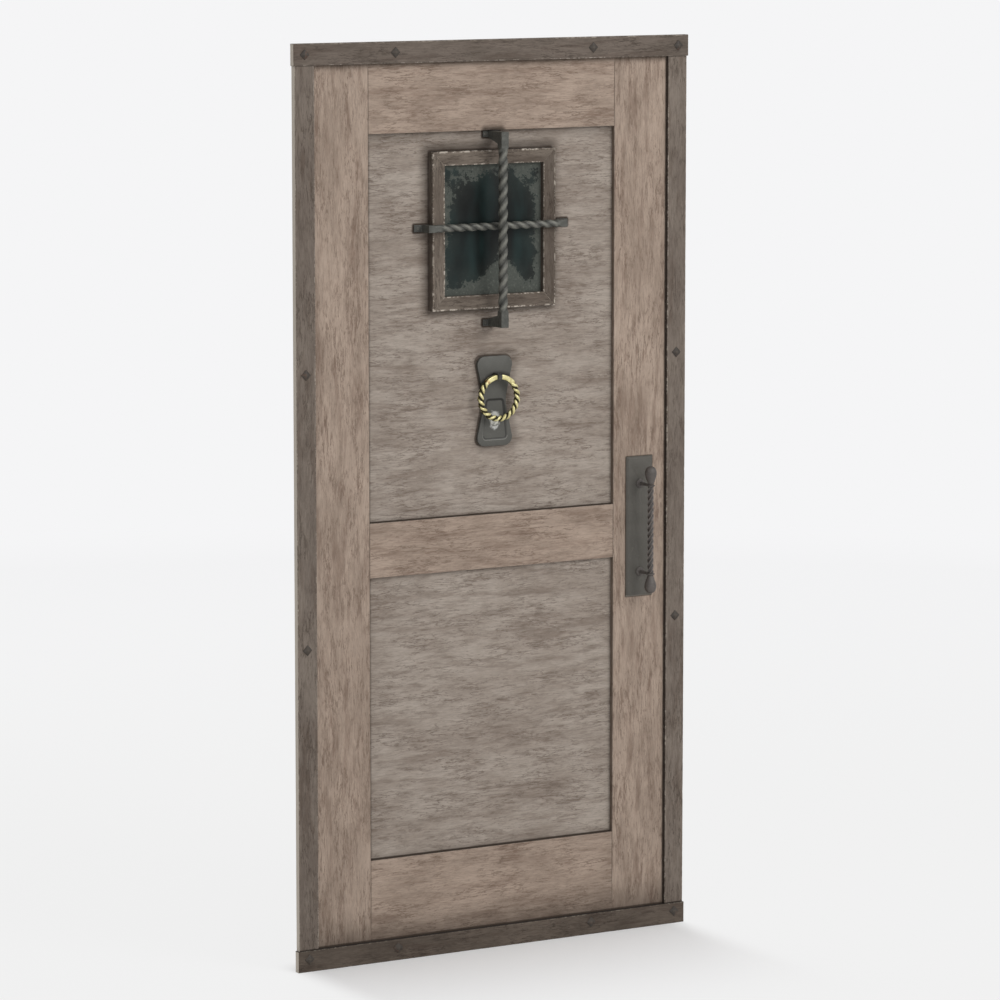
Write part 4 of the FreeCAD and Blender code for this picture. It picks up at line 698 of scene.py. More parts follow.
def new_object(name, vertices, faces, layers=None, smooth=True):
    """An object from plain lists; layers holds named lists of one number a vertex."""
    mesh = bpy.data.meshes.new(name)
    mesh.from_pydata([tuple(place) for place in vertices], [], faces)
    for layer, values in (layers or {}).items():
        add_layer(mesh, layer, values)
    tidy = bmesh.new()
    tidy.from_mesh(mesh)
    bmesh.ops.remove_doubles(tidy, verts=tidy.verts, dist=0.01 * MM)
    bmesh.ops.dissolve_degenerate(tidy, edges=tidy.edges, dist=0.005 * MM)
    bmesh.ops.recalc_face_normals(tidy, faces=tidy.faces)
    tidy.to_mesh(mesh)
    tidy.free()
    if smooth:
        smoothed(mesh, 38)
    return linked(name, mesh)


def linked(name, data):
    """A new object in the scene."""
    made = bpy.data.objects.new(name, data)
    bpy.context.scene.collection.objects.link(made)
    return made


def add_layer(mesh, layer, values):
    mesh.attributes.new(layer, "FLOAT", "POINT").data.foreach_set("value", values)


def smoothed(mesh, degrees):
    """Smooth shading, but for edges sharper than this."""
    mesh.shade_smooth()
    mesh.set_sharp_from_angle(angle=math.radians(degrees))


def dress(piece, body, slot, material, *nodes):
    """Gives a finished piece its material and body, and hides the CAD nodes that it stands for."""
    piece.data.materials.clear()
    piece.data.materials.append(materials[material])
    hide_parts(*nodes)
    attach(piece, body)


def skin(faces, ring_size, rings, start=0):
    """Adds the faces round a tube of rings, and its two ends."""
    for base in range(start, start + ring_size * (rings - 1), ring_size):
        for point in range(ring_size):
            one, two = base + point, base + (point + 1) % ring_size
            faces.append((one, two, two + ring_size, one + ring_size))
    end = start + ring_size * rings
    faces.append(tuple(range(start, start + ring_size)))
    faces.append(tuple(range(end - ring_size, end)))


def chips(distance, corner, seed):
    """How much an arris is worn at a distance along it: 0 is untouched."""
    slow = noise.noise(Vector((distance * 9, corner * 5.1, seed)))
    fast = noise.noise(Vector((distance * 70, corner * 7.7, seed + 3)))
    return max(0.0, slow * 0.6 + fast * 0.9 - 0.12)


def relief(along, across, depth, seed):
    """A planed and weathered surface, always at or below the flat: 0 to 1."""
    slow = noise.noise(Vector((along * 4, across * 28, seed)))
    grain = noise.noise(Vector((along * 16, across * 150, depth * 150 + seed)))
    return min(1.0, max(0.0, 0.5 + slow * 0.4 + grain * 0.5))


def flat_from(ease):
    """How far from a corner a board's face starts to be flat."""
    return ease * (1 + CHIP_GAIN) + GUARD if ease > 0 else 0.0


class Board:
    """A board swept along its grain from a worn outline.

    The outline is a list of (across, depth, ease, darkness) corners in order, where ease is the
    worn arris and darkness lays soiling and painted shade on the face from that corner to the
    next, or leaves it unstained where it is below zero.
    """

    def __init__(self, name, seed):
        self.name = name
        self.seed = seed
        self.turn = 1

    def counts(self, outline):
        """How many face points each side of the outline gets."""
        return [int(math.dist(one[:2], two[:2]) / FACE_STEP)
                for one, two in zip(outline, outline[1:] + outline[:1])]

    def ring(self, outline, counts, along, inset):
        """Points (spot, edge, dirt) round the outline at one station."""
        points = []
        for index, (across, depth, ease, dirt_and_shade) in enumerate(outline):
            before, after = outline[index - 1], outline[(index + 1) % len(outline)]
            corner = Vector((across, depth))
            back = Vector((before[0] - across, before[1] - depth)).normalized()
            way = Vector((after[0] - across, after[1] - depth)).normalized()
            length = math.dist(after[:2], (across, depth))
            start, end = flat_from(ease), flat_from(after[2])
            if ease > 0:
                worn = ease * (1 + chips(along, index, self.seed) * CHIP_GAIN)
                points += [(corner + back * start, 0.0, before[3]),
                           (corner + back * worn, 1.0, before[3]),
                           (corner + (back + way) * worn * ARRIS_SHARE, 1.0,
                            (before[3] + dirt_and_shade) / 2),
                           (corner + way * worn, 1.0, dirt_and_shade), (corner + way * start, 0.0, dirt_and_shade)]
            else:
                points.append((corner, 0.0, max(before[3], dirt_and_shade)))
            outward = Vector((way.y, -way.x)) * self.turn
            for step in range(counts[index]):
                share = (step + 1) / (counts[index] + 1)
                spot = corner + way * (start + (length - start - end) * share)
                sunk = RELIEF * relief(along, spot.x, spot.y, self.seed) if length else 0.0
                points.append((spot - outward * sunk, 0.0, dirt_and_shade))
        return self.shrunk(points, inset) if inset > 0 else points

    def shrunk(self, points, inset):
        """The ring moved inwards, for the eased ends."""
        moved = []
        for index, (spot, edge, dirt_and_shade) in enumerate(points):
            way = (points[(index + 1) % len(points)][0] - points[index - 1][0]).normalized()
            moved.append((spot - Vector((way.y, -way.x)) * self.turn * inset, 1.0, dirt_and_shade))
        return moved

    def sweep(self, spans, place, end_ease=END_EASE, end_dirt=None):
        """Builds the board from spans of (start, end, outline); place maps to row points."""
        low, high, reference, last = spans[0][0], spans[-1][1], spans[0][2], spans[-1][2]
        area = sum(one[0] * two[1] - two[0] * one[1]
                   for one, two in zip(reference, reference[1:] + reference[:1]))
        self.turn = 1 if area > 0 else -1
        counts = max((self.counts(outline) for _, _, outline in spans), key=sum)
        stations = []
        for start, end, outline in spans:
            steps = max(1, round((end - start) / LENGTH_STEP))
            stations += [(start + (end - start) * step / steps, outline, 0.0)
                         for step in range(steps + 1)]
        first = [(low + end_ease * step, reference, end_ease * inset)
                 for step, inset in END_STEPS]
        final = [(high - end_ease * step, last, end_ease * inset)
                 for step, inset in reversed(END_STEPS)]
        stations = first + stations[1:-1] + final
        vertices, faces, edges, dirt_and_shade_values = [], [], [], []
        for along, outline, inset in stations:
            at_end = end_dirt is not None and inset == end_ease
            for spot, edge, dirt_and_shade in self.ring(outline, counts, along, inset):
                vertices.append(place(spot.x, spot.y, along))
                edges.append(0.0 if at_end else edge)
                dirt_and_shade_values.append(end_dirt if at_end else dirt_and_shade)
        skin(faces, len(vertices) // len(stations), len(stations))
        return new_object(self.name, vertices, faces,
                          {"edge": edges, "dirt_and_shade": dirt_and_shade_values,
                           "shift": [self.seed * GRAIN_SHIFT] * len(vertices)})


def upright_place(across, depth, along):
    return (across, depth, along)


def level_place(across, depth, along):
    return (along, depth, across)


def make_side_casing(side, seed):
    name = "left_casing" if side < 0 else "right_casing"
    low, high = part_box(name)
    jamb_low, jamb_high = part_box("left_jamb" if side < 0 else "right_jamb")
    outer, inner = (low.x, high.x) if side < 0 else (high.x, low.x)
    rebate = jamb_low.x if side < 0 else jamb_high.x
    # The casing's inner side face is laid darker: painted shade in the gap beside the leaf, with
    # some soiling
    outline = [(inner, low.y, CASING_EASE, 0.0), (outer, low.y, CASING_EASE, UNSTAINED),
               (outer, high.y, HIDDEN_EASE, 0.0), (rebate, high.y, 0.0, 0.0),
               (rebate, jamb_low.y, 0.0, 0.0), (inner, jamb_low.y, HIDDEN_EASE, 0.75)]
    piece = Board("worn_" + name, seed).sweep([(low.z, high.z, outline)], upright_place,
                                              end_ease=0.4 * MM)
    dress(piece, "surround", "casing_wood", "casing_Z", name)


def sweep_cross_casing(name, seed, outline, jamb_front):
    """A board across the door, rebated over the box frame between the frame's two sides."""
    low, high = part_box(name)
    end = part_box("right_jamb" if name == "head_casing" else "sill")[1].x
    return Board("worn_" + name, seed).sweep(
        [(low.x, -end, outline(high.y)), (-end, end, outline(jamb_front)),
         (end, high.x, outline(high.y))], level_place, end_dirt=UNSTAINED)


def make_head_casing(seed):
    low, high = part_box("head_casing")
    jamb_low, jamb_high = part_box("head_jamb")

    def outline(rebate):
        return [(low.z, low.y, CASING_EASE, 0.0), (high.z, low.y, CASING_EASE, 0.0),
                (high.z, high.y, HIDDEN_EASE, 0.0), (jamb_high.z, high.y, 0.0, 0.0),
                (jamb_high.z, rebate, 0.0, 0.0), (low.z, rebate, 0.0, 0.2)]

    piece = sweep_cross_casing("head_casing", seed, outline, jamb_low.y)
    dress(piece, "surround", "casing_wood", "head", "head_casing")


def make_foot_casing(seed):
    low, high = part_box("foot_casing")

    def outline(back):
        return [(low.z, low.y, CASING_EASE, 0.0), (high.z, low.y, CASING_EASE, LEDGE_SOIL_AND_SHADE),
                (high.z, back, 0.0, 0.0), (low.z, back, 0.0, 0.0)]

    piece = sweep_cross_casing("foot_casing", seed, outline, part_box("sill")[0].y)
    dress(piece, "surround", "foot_wood", "foot", "foot_casing")


def plank_outline(near, far, front, back, far_soil_and_shade, near_soil_and_shade):
    """A plain leaf board between two places across, with soiling and painted shade on its two
    sides.
    """
    return [(near, front, LEAF_EASE, 0.0), (far, front, LEAF_EASE, far_soil_and_shade),
            (far, back, LEAF_EASE, 0.0), (near, back, LEAF_EASE, near_soil_and_shade)]


def make_stiles():
    low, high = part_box("hinge_stile")
    seats = [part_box(level + "_hinge_door_plate") for level in ("lower", "middle", "upper")]

    def outline(seat_deep, seat_front):
        return [(low.x, low.y, LEAF_EASE, 0.0), (high.x, low.y, LEAF_EASE, JOINT_SOIL_AND_SHADE),
                (high.x, high.y, LEAF_EASE, 0.0), (low.x + seat_deep, high.y, 0.0, 0.0),
                (low.x + seat_deep, seat_front, 0.0, 0.0), (low.x, seat_front, 0.0, 0.0)]

    spans = []
    reached = low.z
    for seat_low, seat_high in seats:
        spans.append((reached, seat_low.z, outline(0.0, seat_low.y)))
        spans.append((seat_low.z, seat_high.z, outline(seat_high.x - low.x, seat_low.y)))
        reached = seat_high.z
    spans.append((reached, high.z, outline(0.0, seats[-1][0].y)))
    piece = Board("worn_hinge_stile", 1.0).sweep(spans, upright_place)
    dress(piece, "leaf", "leaf_wood", "leaf_Z", "hinge_stile")

    low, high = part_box("lock_stile")
    outline = plank_outline(low.x, high.x, low.y, high.y, 0.0, JOINT_SOIL_AND_SHADE)
    piece = Board("worn_lock_stile", 2.0).sweep([(low.z, high.z, outline)], upright_place)
    dress(piece, "leaf", "leaf_wood", "leaf_Z", "lock_stile")


def make_rails():
    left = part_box("hinge_stile")[1].x
    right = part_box("lock_stile")[0].x
    for seed, name, over, under in ((3.0, "top_rail", 0.0, JOINT_SOIL_AND_SHADE),
                                    (4.0, "lock_rail", LEDGE_SOIL_AND_SHADE, JOINT_SOIL_AND_SHADE),
                                    (5.0, "bottom_rail", LEDGE_SOIL_AND_SHADE, 0.0)):
        low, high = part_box(name)
        outline = plank_outline(low.z, high.z, low.y, high.y, over, under)
        piece = Board("worn_" + name, seed).sweep([(left, right, outline)], level_place,
                                                  end_ease=0.3 * MM)
        dress(piece, "leaf", "leaf_wood", "leaf_X", name)


def spread(low, high, marks):
    """Evenly spaced values from low to high that also hit each mark."""
    stops = sorted({low, high, *marks})
    values = [low]
    for start, end in zip(stops, stops[1:]):
        count = max(1, round((end - start) / PANEL_STEP))
        values += [start + (end - start) * index / count for index in range(1, count + 1)]
    return values


def make_panel(name, seed, below, above, hole=()):
    """A flat panel with a fine relief, darker round its border with soiling and painted shade; the
    hole is two corners.
    """
    left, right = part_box("hinge_stile")[1].x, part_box("lock_stile")[0].x
    bottom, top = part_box(below)[1].z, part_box(above)[0].z
    node_low, node_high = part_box(name)
    xs = spread(left - PANEL_BURIED, right + PANEL_BURIED, [corner.x for corner in hole])
    zs = spread(bottom - PANEL_BURIED, top + PANEL_BURIED, [corner.z for corner in hole])
    vertices, dirt_and_shade = [], []
    for depth, sink in ((node_low.y, 1), (node_high.y, -1)):
        for z in zs:
            for x in xs:
                vertices.append((x, depth + RELIEF * relief(x, z, depth, seed) * sink, z))
                # Darker towards the stiles and rails: painted shade in the panel's border, with
                # some soiling
                border = max(min(x - left, right - x, z - bottom), 0.0)
                dirt_and_shade.append(math.exp(-border / PANEL_SHADE_REACH) * PANEL_SOIL_AND_SHADE)
    columns, layer = len(xs), len(xs) * len(zs)
    kept = set()
    for row in range(len(zs) - 1):
        for column in range(columns - 1):
            x, z = (xs[column] + xs[column + 1]) / 2, (zs[row] + zs[row + 1]) / 2
            if not (hole and hole[0].x < x < hole[1].x and hole[0].z < z < hole[1].z):
                kept.add((column, row))
    faces = []
    for column, row in kept:
        one = row * columns + column
        two, three, four = one + 1, one + columns + 1, one + columns
        faces.append((one, two, three, four))
        faces.append((four + layer, three + layer, two + layer, one + layer))
        for beside, start, end in (((column, row - 1), one, two), ((column, row + 1), four, three),
                                   ((column - 1, row), one, four),
                                   ((column + 1, row), two, three)):
            if beside not in kept:
                faces.append((start, end, end + layer, start + layer))
    piece = new_object("worn_" + name, vertices, faces,
                       {"dirt_and_shade": dirt_and_shade, "edge": [0.0] * len(dirt_and_shade),
                        "shift": [seed * GRAIN_SHIFT] * len(dirt_and_shade)})
    dress(piece, "leaf", "panel_wood", "panel", name)


def make_panels():
    low, high, _ = window_box()
    inset = Vector((WINDOW_FLANGE, 0, WINDOW_FLANGE))
    make_panel("upper_panel", 6.0, "lock_rail", "top_rail", (low + inset, high - inset))
    make_panel("lower_panel", 7.0, "bottom_rail", "lock_rail")


def make_window_woodwork():
    """Four mitred members round the glass, and the beads that hold it from inside."""
    low, high, member = window_box()
    front, back = (corner.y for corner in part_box("window_frame_left"))
    glass_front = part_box("glass_pane")[0].y
    panel_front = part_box("upper_panel")[0].y
    bead_low, bead_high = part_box("glazing_bead_left")
    rebate = bead_low.x - low.x

    def frame_outline(side):
        inner_ease = WINDOW_EASE if side == "left" else INNER_EASE
        return [(0.0, front, WINDOW_EASE, FRAME_FRONT_SHADE[side]),
                (member, front, inner_ease, FRAME_INNER_SOIL_AND_SHADE),
                (member, glass_front, 0.0, 0.0), (rebate, glass_front, 0.0, 0.0),
                (rebate, back, 0.0, 0.0), (WINDOW_FLANGE, back, 0.0, 0.0),
                (WINDOW_FLANGE, panel_front, 0.0, 0.0),
                (0.0, panel_front, 0.0, FRAME_OUTER_SOIL_AND_SHADE[side])]

    bead_outline = [(rebate, bead_low.y, 0.0, 0.0), (member, bead_low.y, 0.0, 0.0),
                    (member, bead_high.y - BEAD_CHAMFER, HIDDEN_EASE, 0.0),
                    (member - BEAD_CHAMFER, bead_high.y, HIDDEN_EASE, 0.0),
                    (rebate, bead_high.y, 0.0, 0.0)]

    def place_on(side):
        upright = side in ("left", "right")
        first, last = (low.z, high.z) if upright else (low.x, high.x)

        def place(inset, depth, along):
            share = (along - first) / (last - first)
            moved = first + inset + (last - first - 2 * inset) * share
            if upright:
                return (low.x + inset if side == "left" else high.x - inset, depth, moved)
            return (moved, depth, low.z + inset if side == "bottom" else high.z - inset)
        return place

    for seed, side in enumerate(("left", "right", "bottom", "top"), start=11):
        span, grain = (((low.z, high.z), "Z") if side in ("left", "right")
                       else ((low.x, high.x), "X"))
        for node, offset, outline, end_ease in (
                ("window_frame_" + side, 0.0, frame_outline(side), 0.5 * MM),
                ("glazing_bead_" + side, 4.0, bead_outline, 0.3 * MM)):
            piece = Board("worn_" + node, seed + offset).sweep([(*span, outline)],
                                                               place_on(side), end_ease)
            dress(piece, "leaf", "window_wood", "window_" + grain, node)


def copy_of(node, name):
    """A welded copy of a CAD node's mesh, to be refined."""
    mesh = cad_nodes[node].data.copy()
    mesh.name = name
    welded = bmesh.new()
    welded.from_mesh(mesh)
    bmesh.ops.remove_doubles(welded, verts=welded.verts, dist=0.002 * MM)
    welded.to_mesh(mesh)
    welded.free()
    return linked(name, mesh)


def dissolved(piece, degrees):
    """The piece's mesh for editing, with the edges inside its flat faces taken out."""
    work = bmesh.new()
    work.from_mesh(piece.data)
    bmesh.ops.dissolve_limit(work, angle_limit=math.radians(degrees), verts=work.verts,
                             edges=work.edges)
    return work


def applied(piece):
    """Replaces the piece's mesh by the result of its modifiers."""
    graph = bpy.context.evaluated_depsgraph_get()
    mesh = bpy.data.meshes.new_from_object(piece.evaluated_get(graph))
    piece.modifiers.clear()
    old = piece.data
    piece.data = mesh
    bpy.data.meshes.remove(old)


def remeshed(piece, voxel):
    """One closed skin of small even faces over everything in the piece."""
    modifier = piece.modifiers.new("skin", "REMESH")
    modifier.mode = "VOXEL"
    modifier.voxel_size = voxel
    smooth = piece.modifiers.new("soften", "SMOOTH")
    smooth.factor = 0.5
    smooth.iterations = 1
    applied(piece)


def hammer(piece, deep, scale, seed):
    """Dents the skin inwards with broad hammer marks and fine pits."""
    mesh = piece.data
    normals = [vertex.normal.copy() for vertex in mesh.vertices]
    for vertex, normal in zip(mesh.vertices, normals):
        spot = vertex.co
        broad = noise.noise(spot * scale + Vector((seed, 0, 0)))
        fine = noise.noise(spot * scale * 3.7 + Vector((0, seed, 0)))
        vertex.co = spot - normal * deep * max(0.0, 0.45 + broad * 0.8 + fine * 0.35)
    mesh.shade_smooth()


def make_jambs():
    """The box frame with its long straight arrises eased."""
    for seed, (node, grain) in enumerate((("left_jamb", "Z"), ("right_jamb", "Z"),
                                          ("head_jamb", "X"), ("sill", "X")), start=21):
        piece = copy_of(node, "planed_" + node)
        work = dissolved(piece, 0.5)
        sharp = [edge for edge in work.edges
                 if len(edge.link_faces) == 2 and edge.calc_face_angle(0.0) > math.radians(60)
                 and edge.calc_length() > JAMB_LONG_EDGE]
        bmesh.ops.bevel(work, geom=sharp, offset=JAMB_EASE, segments=2, profile=0.5,
                        affect="EDGES", clamp_overlap=False)
        bmesh.ops.triangulate(work, faces=[face for face in work.faces if len(face.verts) > 4])
        work.to_mesh(piece.data)
        work.free()
        add_layer(piece.data, "shift", [seed * GRAIN_SHIFT] * len(piece.data.vertices))
        smoothed(piece.data, 35)
        dress(piece, "surround", "jamb_wood", "jamb_" + grain, node)


def nail_tips(node):
    """The foremost point of each nail."""
    tips = []
    for vertex in sorted(node.data.vertices, key=lambda item: item.co.y):
        if all((vertex.co - other).length > NAIL_APART for other in tips):
            tips.append(vertex.co.copy())
    return tips


def make_nails():
    """Forged nails: an uneven pyramid head with a hammered crown over a square shank."""
    shank = NAIL_SHANK / NAIL_HALF
    rings = [(shank * 0.4, -NAIL_LONG / NAIL_RISE), (shank, -NAIL_LONG * 0.7 / NAIL_RISE),
             (shank, 0.0), *NAIL_RINGS]
    vertices, faces, ridge = [], [], []
    for index, tip in enumerate(nail_tips(cad_nodes["casing_nails"])):
        start = len(vertices)
        for out_share, up_share in rings:
            square = NAIL_SQUARE if up_share >= 0 else 0.0
            for point in range(NAIL_POINTS):
                angle = 2 * math.pi * point / NAIL_POINTS
                sine, cosine = math.sin(angle), math.cos(angle)
                wobble = noise.noise(Vector((cosine * 1.3, sine * 1.3, index * 2.7 + up_share)))
                shrink = 1 - NAIL_UNEVEN * max(0.0, wobble)
                reach = NAIL_HALF * out_share * (square / (abs(cosine) + abs(sine))
                                                 + (1 - square) * 0.8)
                if up_share >= 0:
                    reach *= shrink
                vertices.append((tip.x + reach * sine,
                                 tip.y + NAIL_RISE - NAIL_RISE * up_share * shrink,
                                 tip.z + reach * cosine))
                ridge.append(max(0.0, up_share) * 0.8)
        skin(faces, NAIL_POINTS, len(rings), start)
    piece = new_object("forged_nails", vertices, faces, {"ridge": ridge})
    dress(piece, "surround", "nail_iron", "nail", "casing_nails")


def square_reach(angle, roundness):
    """Distance from the middle to the rim of a square with rounded corners, side 2."""
    power = 2 + roundness
    return (abs(math.cos(angle)) ** power + abs(math.sin(angle)) ** power) ** (-1 / power)


def strand_reach(angle, radius, offset):
    """Distance from the middle to the rim of two round strands that lie side by side."""
    return (offset * abs(math.cos(angle))
            + math.sqrt(radius ** 2 - (offset * math.sin(angle)) ** 2))


def polar(reach, angle, height):
    return (reach * math.cos(angle), reach * math.sin(angle), height)


def quarter_turns(length, pitch):
    """The angle of as many whole quarter turns as fit best."""
    return max(1, round(length / pitch * 4)) * math.pi / 2


def twist_stations(low, high, turn, step):
    """Even stations (height, angle) between two heights over which the bar turns."""
    count = max(2, round((high - low) / step))
    return [(low + (high - low) * index / count, turn * index / count)
            for index in range(count + 1)]


def prism(vertices, faces, half, profile):
    """Adds a block with one outline (depth, height) all the way across."""
    start = len(vertices)
    vertices += [(x, y, z) for x in (-half, half) for y, z in profile]
    skin(faces, len(profile), 2, start)


def grille_bar(name, side, span, plain, root, reach, ear_long, side_ears):
    """A twisted bar along +Z with both ends bent back to a foot with ears."""
    half = side / 2
    radius, offset = side * STRAND_SHARE, side * STRAND_OFFSET_SHARE
    twist_low, twist_high = root + plain[0], span - root - plain[1]
    turn = quarter_turns(twist_high - twist_low, BAR_PITCH)

    def strand_share(height):
        from_end = min(height - twist_low, twist_high - height)
        return min(1.0, max(0.0, from_end / STRAND_RUN_IN))

    stations = [(BAR_END, 0.0), *twist_stations(twist_low, twist_high, turn, BAR_STEP),
                (span - BAR_END, turn)]
    vertices, faces = [], []
    for height, turned in stations:
        for angle in ANGLES:
            square = half * square_reach(angle, BAR_ROUNDNESS)
            out = square + (strand_reach(angle, radius, offset) - square) * strand_share(height)
            vertices.append(polar(out, angle + turned, height))
    skin(faces, len(ANGLES), len(stations))
    for end, inward in ((0.0, 1), (span, -1)):
        prism(vertices, faces, half,
              ((-half, end), (reach, end), (reach, end + inward * LEG_FOOT),
               (half, end + inward * root), (-half, end + inward * root)))
        ear_half = half + ear_long if side_ears else half
        ear_end = end if side_ears else end - inward * ear_long
        ear_foot = end + inward * LEG_FOOT
        prism(vertices, faces, ear_half,
              ((reach - FOOT_THICK, ear_end), (reach, ear_end), (reach, ear_foot),
               (reach - FOOT_THICK, ear_foot)))
    piece = new_object(name, vertices, faces)
    remeshed(piece, BAR_VOXEL)
    low_reach = strand_reach(math.pi / 2, radius, offset)
    high_reach = radius + offset
    ridge, grime_and_shade = [], []
    for vertex in piece.data.vertices:
        spot = vertex.co
        # The feet next to the panel are laid darker: painted contact shadow, grimy too
        grime_and_shade.append(EAR_GRIME_AND_SHADE if spot.y > reach - FOOT_THICK * 1.4 else 0.0)
        blend = strand_share(spot.z)
        out = (math.hypot(spot.x, spot.y) - low_reach) / (high_reach - low_reach)
        ridge.append(min(1.0, max(0.0, out * blend + PLAIN_RIDGE * (1 - blend))))
    # The hollows between the strands are laid darker: wax, and painted shade
    for layer, values in (("ridge", ridge), ("hollow_and_shade", [1 - share for share in ridge]),
                          ("grime_and_shade", grime_and_shade)):
        add_layer(piece.data, layer, values)
    return piece


def make_grille():
    panel_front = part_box("upper_panel")[0].y
    window_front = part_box("window_frame_left")[0].y
    crossbar_reach = CROSSBAR_SIDE * BAR_REACH_SHARE
    crossbar_depth = window_front - BAR_CLEAR - crossbar_reach
    upright_depth = crossbar_depth - crossbar_reach - BAR_CLEAR - UPRIGHT_SIDE * BAR_REACH_SHARE
    low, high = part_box("grille_upright")
    piece = grille_bar("forged_upright", UPRIGHT_SIDE, high.z - low.z, UPRIGHT_PLAIN_PAST_LEG,
                       UPRIGHT_LEG_ROOT, panel_front - upright_depth, UPRIGHT_FOOT_LONG, True)
    piece.data.transform(Matrix.Translation((0, upright_depth, low.z)))
    hammer(piece, 0.7 * MM, 170, 1.0)
    dress(piece, "leaf", "grille_iron", "grille", "grille_upright")

    low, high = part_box("grille_crossbar")
    span = high.x - low.x - CROSSBAR_FOOT_LONG * 2
    piece = grille_bar("forged_crossbar", CROSSBAR_SIDE, span, CROSSBAR_PLAIN_PAST_LEG,
                       CROSSBAR_LEG_ROOT, panel_front - crossbar_depth, CROSSBAR_FOOT_LONG,
                       False)
    place = Matrix.Translation((-span / 2, crossbar_depth, (low.z + high.z) / 2))
    piece.data.transform(place @ Matrix.Rotation(math.pi / 2, 4, "Y"))
    hammer(piece, 0.7 * MM, 170, 2.0)
    dress(piece, "leaf", "grille_iron", "grille", "grille_crossbar")


def make_pull_bar():
    """A twisted square bar with a round neck at each end, in the eyes of the posts."""
    low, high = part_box("pull_bar")
    start = middle_of("pull_lower_post").z + PULL_EYE
    end = middle_of("pull_upper_post").z - PULL_EYE
    stations = twist_stations(start, end, quarter_turns(end - start, PULL_BAR_PITCH),
                              PULL_BAR_STEP)
    rim = square_reach(math.pi / 4, PULL_ROUNDNESS) - 1
    vertices, faces, layer = [], [], []
    for height, turned in stations:
        for angle in ANGLES:
            reach = square_reach(angle, PULL_ROUNDNESS)
            share = (reach - 1) / rim
            reach -= PULL_HOLLOW * (1 - share)
            vertices.append(polar(PULL_BAR_SIDE / 2 * reach, angle + turned, height))
            layer.append(share)
    skin(faces, len(ANGLES), len(stations))
    for neck in ((low.z, start), (end, high.z)):
        base = len(vertices)
        vertices += [polar(PULL_NECK / 2, angle, height) for height in neck for angle in ANGLES]
        layer += [0.5] * len(ANGLES) * 2
        skin(faces, len(ANGLES), 2, base)
    piece = new_object("forged_pull_bar", vertices, faces,
                       {"ridge": layer, "hollow_and_shade": [1 - value for value in layer]})
    piece.data.transform(Matrix.Translation(((low.x + high.x) / 2, (low.y + high.y) / 2, 0)))
    hammer(piece, 0.3 * MM, 180, 3.0)
    piece.data.set_sharp_from_angle(angle=math.radians(50))
    dress(piece, "leaf", "handle_iron", "grip", "pull_bar")


def ring_stations():
    """The ring's stations (clock angle, twist), and where its twist starts and ends."""
    gap = math.asin(RING_GAP / 2 / RING_RADIUS)
    plain = RING_PLAIN / RING_RADIUS
    start = gap + plain
    end = 2 * math.pi - start
    turn = quarter_turns((end - start) * RING_RADIUS, RING_PITCH)
    stations = [(gap + plain * step / RING_PLAIN_STEPS, 0.0) for step in range(RING_PLAIN_STEPS)]
    stations += [(start + (end - start) * step / RING_TWIST_STEPS,
                  turn * step / RING_TWIST_STEPS) for step in range(RING_TWIST_STEPS + 1)]
    stations += [(end + plain * step / RING_PLAIN_STEPS, turn)
                 for step in range(1, RING_PLAIN_STEPS + 1)]
    return stations, start, end, gap


def make_ring():
    """An open ring of two twisted strands with two plain ends that grip the pin."""
    centre = middle_of("knocker_ring_pin") - Vector((0, 0, RING_RADIUS))
    stations, start, end, gap = ring_stations()
    low_reach = strand_reach(math.pi / 2, RING_STRAND, RING_STRAND_OFFSET)
    high_reach = RING_STRAND + RING_STRAND_OFFSET
    blunt, blunt_long = RING_END_ROUND
    flank_from, flank_dark = RING_FLANK
    stain_at, stain_wide = RING_STAIN
    vertices, faces, hollow_and_shade, stain = [], [], [], []
    for clock, turned in stations:
        on_left = clock > math.pi
        outward = Vector((math.sin(clock), 0, math.cos(clock)))
        from_end = min(clock - start, end - clock) * RING_RADIUS
        from_end += RING_PLAIN * (1 - RING_LEFT_PLAIN_SHARE) if on_left else 0.0
        blend = min(1.0, max(0.0, from_end / RING_RUN_IN))
        left_end = (2 * math.pi - gap - clock) * RING_RADIUS
        end_share = min((clock - gap) * RING_RADIUS, left_end)
        round_off = min(1.0, blunt + (1 - blunt) * end_share / blunt_long)
        for angle in ANGLES:
            square = RING_SECTION / 2 * square_reach(angle, RING_ROUNDNESS)
            strands = strand_reach(angle, RING_STRAND, RING_STRAND_OFFSET)
            reach = (square + (strands - square) * blend) * round_off
            out, side, _ = polar(reach, angle + turned, 0.0)
            vertices.append(centre + outward * (RING_RADIUS + out) + Vector((0, side, 0)))
            # Darker in the valleys between the strands (tarnish and painted shade), on the flanks
            # and over the left half (painted shade)
            sunk = (high_reach - strands) / (high_reach - low_reach) * blend
            flank = max(0.0, abs(out) / reach - flank_from) / (1 - flank_from) * flank_dark
            hollow_and_shade.append(max(sunk, flank) + (RING_LEFT_SHADE if on_left else 0.0))
            stain.append(math.exp(-((left_end - stain_at) / stain_wide) ** 2))
    skin(faces, len(ANGLES), len(stations))
    piece = new_object("cast_ring", vertices, faces, {"hollow_and_shade": hollow_and_shade, "stain": stain})
    hammer(piece, 0.4 * MM, 300, 4.0)
    piece.data.set_sharp_from_angle(angle=math.radians(60))
    dress(piece, "knocker", "ring_brass", "brass", "knocker_ring")


def line_meeting(one, one_way, two, two_way):
    """Where two straight lines in the plane cross."""
    return one + one_way * ((two - one).cross(two_way) / one_way.cross(two_way))


